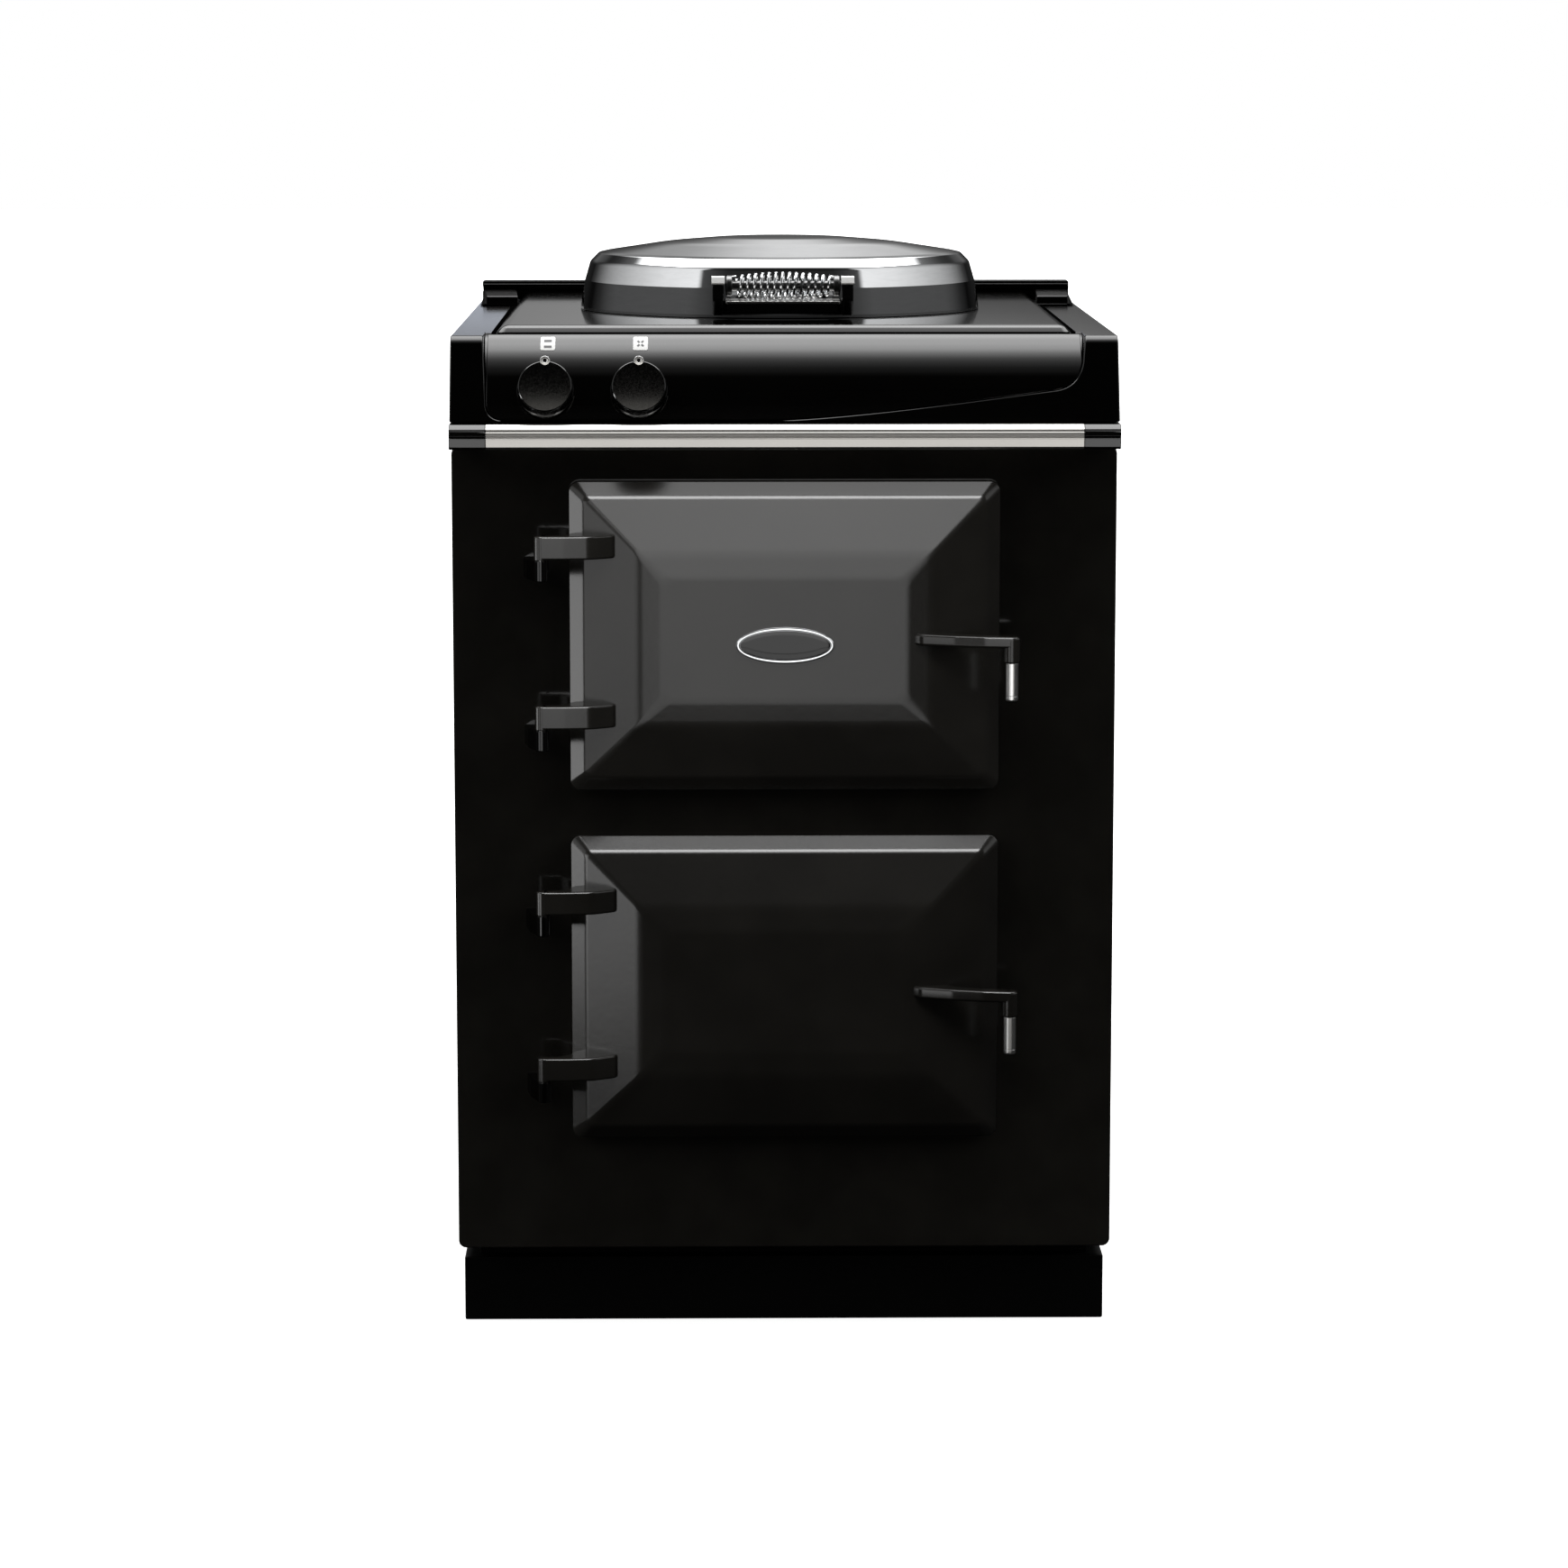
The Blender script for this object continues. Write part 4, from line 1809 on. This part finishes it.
@dataclass
class Studio:
    """Camera, floor, surroundings and lights.

    The room's panels are stops of (degrees, radiance): the ceiling by the arch from the front over the
    top to the rear, walls and rear by the swing from the front round to the rear and by the height.
    """

    camera_place: Triple = (-0.0629, -4.7424, 1.1716)
    camera_down: float = 8.528
    camera_right: float = 0.804
    lens: float = 114.0
    sensor: float = 36.0
    sight: float = 100.0
    floor_size: float = 60.0
    ceiling: Stops = (
        (60, 0.0), (64, 0.08), (70, 0.2), (77, 0.6), (82, 1.1), (90, 3.0), (97, 5.2), (108, 5.6), (116, 4.8),
        (128, 4.6), (136, 3.0), (142, 1.6), (150, 0.3), (156, 0.0),
    )
    ceiling_half: float = 0.72
    walls: Stops = (
        (50, 0.0), (53, 0.95), (75, 0.85), (100, 0.56), (112, 0.42), (127, 0.27), (138, 0.115), (145, 0.04),
        (152, 0.0),
    )
    wall_feet: Stops = ((50, 17.5), (90, 13.8), (120, 9.4), (140, 6.4), (150, 4.2))
    wall_top: float = 45.0
    rear: Stops = (
        (0, 1.0), (1, 0.97), (2.1, 0.83), (2.9, 0.66), (3.6, 0.5), (4.9, 0.33), (8, 0.25), (20, 0.12),
        (35, 0.0),
    )
    rear_turn: float = 1.6
    rear_heights: Stops = (
        (-3, 0.0), (1, 0.08), (5, 0.12), (8, 0.25), (12, 0.75), (20, 0.78), (25, 0.3), (34, 0.0),
    )
    room: Stops = ((-90, 0.02), (-3, 0.03), (2, 0.08), (26, 0.09), (36, 0.03), (90, 0.02))
    room_swing: Stops = (
        (34, 0.3), (56, 1.0), (100, 1.0), (113, 0.95), (121, 0.72), (131, 0.3), (142, 0.05), (180, 0.05),
    )

    def build(self) -> None:
        """Builds the studio."""
        self.camera()
        self.floor()
        self.surroundings()
        for light in LIGHTS:
            light.hang()
        bpy.context.scene.view_settings.view_transform = "Standard"

    def camera(self) -> None:
        """Sets the camera at the height of a standing person's eyes, in front and a little to the left."""
        down, right = math.radians(self.camera_down), math.radians(self.camera_right)
        aim = Vector((math.sin(right) * math.cos(down), math.cos(right) * math.cos(down), -math.sin(down)))
        Bench.take()
        bpy.ops.object.camera_add(location=self.camera_place)
        camera = bpy.context.object
        camera.name = camera.data.name = "camera"
        camera.rotation_mode = "QUATERNION"
        camera.rotation_quaternion = aim.to_track_quat("-Z", "Y")
        camera.data.lens = self.lens
        camera.data.sensor_width = self.sensor
        camera.data.clip_end = self.sight
        bpy.context.scene.camera = camera

    def floor(self) -> None:
        """Lays the pale floor, which glossy pieces don't mirror."""
        Bench.take()
        bpy.ops.mesh.primitive_grid_add(
            x_subdivisions=4, y_subdivisions=4, size=self.floor_size, location=(0, 0, -0.0005),
        )
        floor = bpy.context.object
        floor.name = floor.data.name = "floor"
        bpy.ops.object.transform_apply(location=True, rotation=True, scale=True)
        sheet = Sheet("pale_floor", {
            "Base Color": (0.85, 0.85, 0.85, 1.0), "Roughness": 0.9, "Emission Strength": 0.9,
            "Emission Color": (1.0, 1.0, 1.0, 1.0),
        })
        floor.data.materials.append(sheet.material)
        floor.visible_glossy = False
        floor.visible_diffuse = False

    def surroundings(self) -> None:
        """Lights the room: white to the camera, and to all else a dark room with soft panels."""
        world = bpy.data.worlds.new("studio")
        bpy.context.scene.world = world
        world.use_nodes = True
        world.node_tree.nodes.clear()
        sheet = Sheet.over(world.node_tree)
        around = sheet.node("ShaderNodeTexCoord").outputs["Generated"]
        way = sheet.node("ShaderNodeSeparateXYZ", None, {0: around})
        x, y, z = (Value(sheet, way.outputs[i]) for i in range(3))
        degrees = 180 / math.pi
        height = z.with_("ARCSINE") * degrees
        swing = abs(x).with_("ARCTAN2", -1 * y) * degrees
        arch = z.with_("ARCTAN2", -1 * y) * degrees
        beside = sheet.steps(abs(x) - self.ceiling_half * z, 0.0, 0.08, 1.0, 0.0)
        ceiling = sheet.ramp(arch, self.ceiling) * beside
        over_feet = sheet.steps(height - sheet.ramp(swing, self.wall_feet), 0.0, 0.8)
        under_top = sheet.steps(height, self.wall_top, self.wall_top + 2, 1.0, 0.0)
        walls = sheet.ramp(swing, self.walls) * over_feet * under_top
        turn = abs(x.with_("ARCTAN2", y) * degrees - self.rear_turn)
        rear = sheet.ramp(turn, self.rear) * sheet.ramp(height, self.rear_heights)
        room = sheet.ramp(height, self.room) * sheet.ramp(swing, self.room_swing)
        light = ceiling + walls + rear + room
        dim = sheet.node("ShaderNodeBackground", None, {"Color": (1, 1, 1, 1), "Strength": light})
        white = sheet.node("ShaderNodeBackground", None, {"Color": (1, 1, 1, 1), "Strength": 1.0})
        ray = sheet.node("ShaderNodeLightPath").outputs["Is Camera Ray"]
        mix = sheet.node("ShaderNodeMixShader", None, {0: ray, 1: dim.outputs[0], 2: white.outputs[0]})
        sheet.node("ShaderNodeOutputWorld", None, {"Surface": mix.outputs[0]})


# ---------------------------------------------------------------------------
# Assembly
# ---------------------------------------------------------------------------


def dress_frame() -> None:
    """Gives every solid of the frame its finish, also those that a finished piece stands for."""
    finishes: dict[Slot, Finish] = {
        Slot.ENAMEL_IRON: CAST_ENAMEL, Slot.ENAMEL_SHEET: SHEET_ENAMEL, Slot.PLINTH: PLINTH_PAINT,
        Slot.CHROME: CHROME, Slot.STAINLESS: STEEL, Slot.BLACK_IRON: BLACK_FITTING,
        Slot.BLACK_PLASTIC: GLAND_MOULDING, Slot.RAW_IRON: TurnedIron("iron_casting"),
        Slot.OVEN_ENAMEL: OVEN_ENAMEL, Slot.HEATER: HEATER, Slot.WOOL: WOOL, Slot.ROPE: ROPE,
        Slot.KNOB: KNOB_MOULDING, Slot.SWITCH: SWITCH_MOULDING,
    }
    slots = {part["node"]: part["material_slot"] for part in frame["record"]["subparts"]}
    for name, node in frame["nodes"].items():
        node.data.materials.clear()
        node.data.materials.append(finishes[Slot(slots[name])].material())


def main() -> None:
    """Builds the cooker and the studio."""
    logging.basicConfig(level=logging.INFO, format="%(message)s")
    dress_frame()
    Casing().build()
    fascia = Fascia()
    fascia.build()
    HobTop().build()
    lid = Lid()
    lid.build()
    LidHandle().build(lid)
    for which, body, centre in (("upper", Body.UPPER_DOOR, 640.5), ("lower", Body.LOWER_DOOR, 319.7)):
        Door(which, body, centre).build()
        Oven(which, centre).build()
    DoorPlate().build()
    Control("oven", Body.OVEN_CONTROL, -213.5, -212.0, fascia).build()
    Control("hotplate", Body.HOTPLATE_CONTROL, -130.0, -129.0, fascia).build()
    Studio().build()


if __name__ == "__main__":
    main()
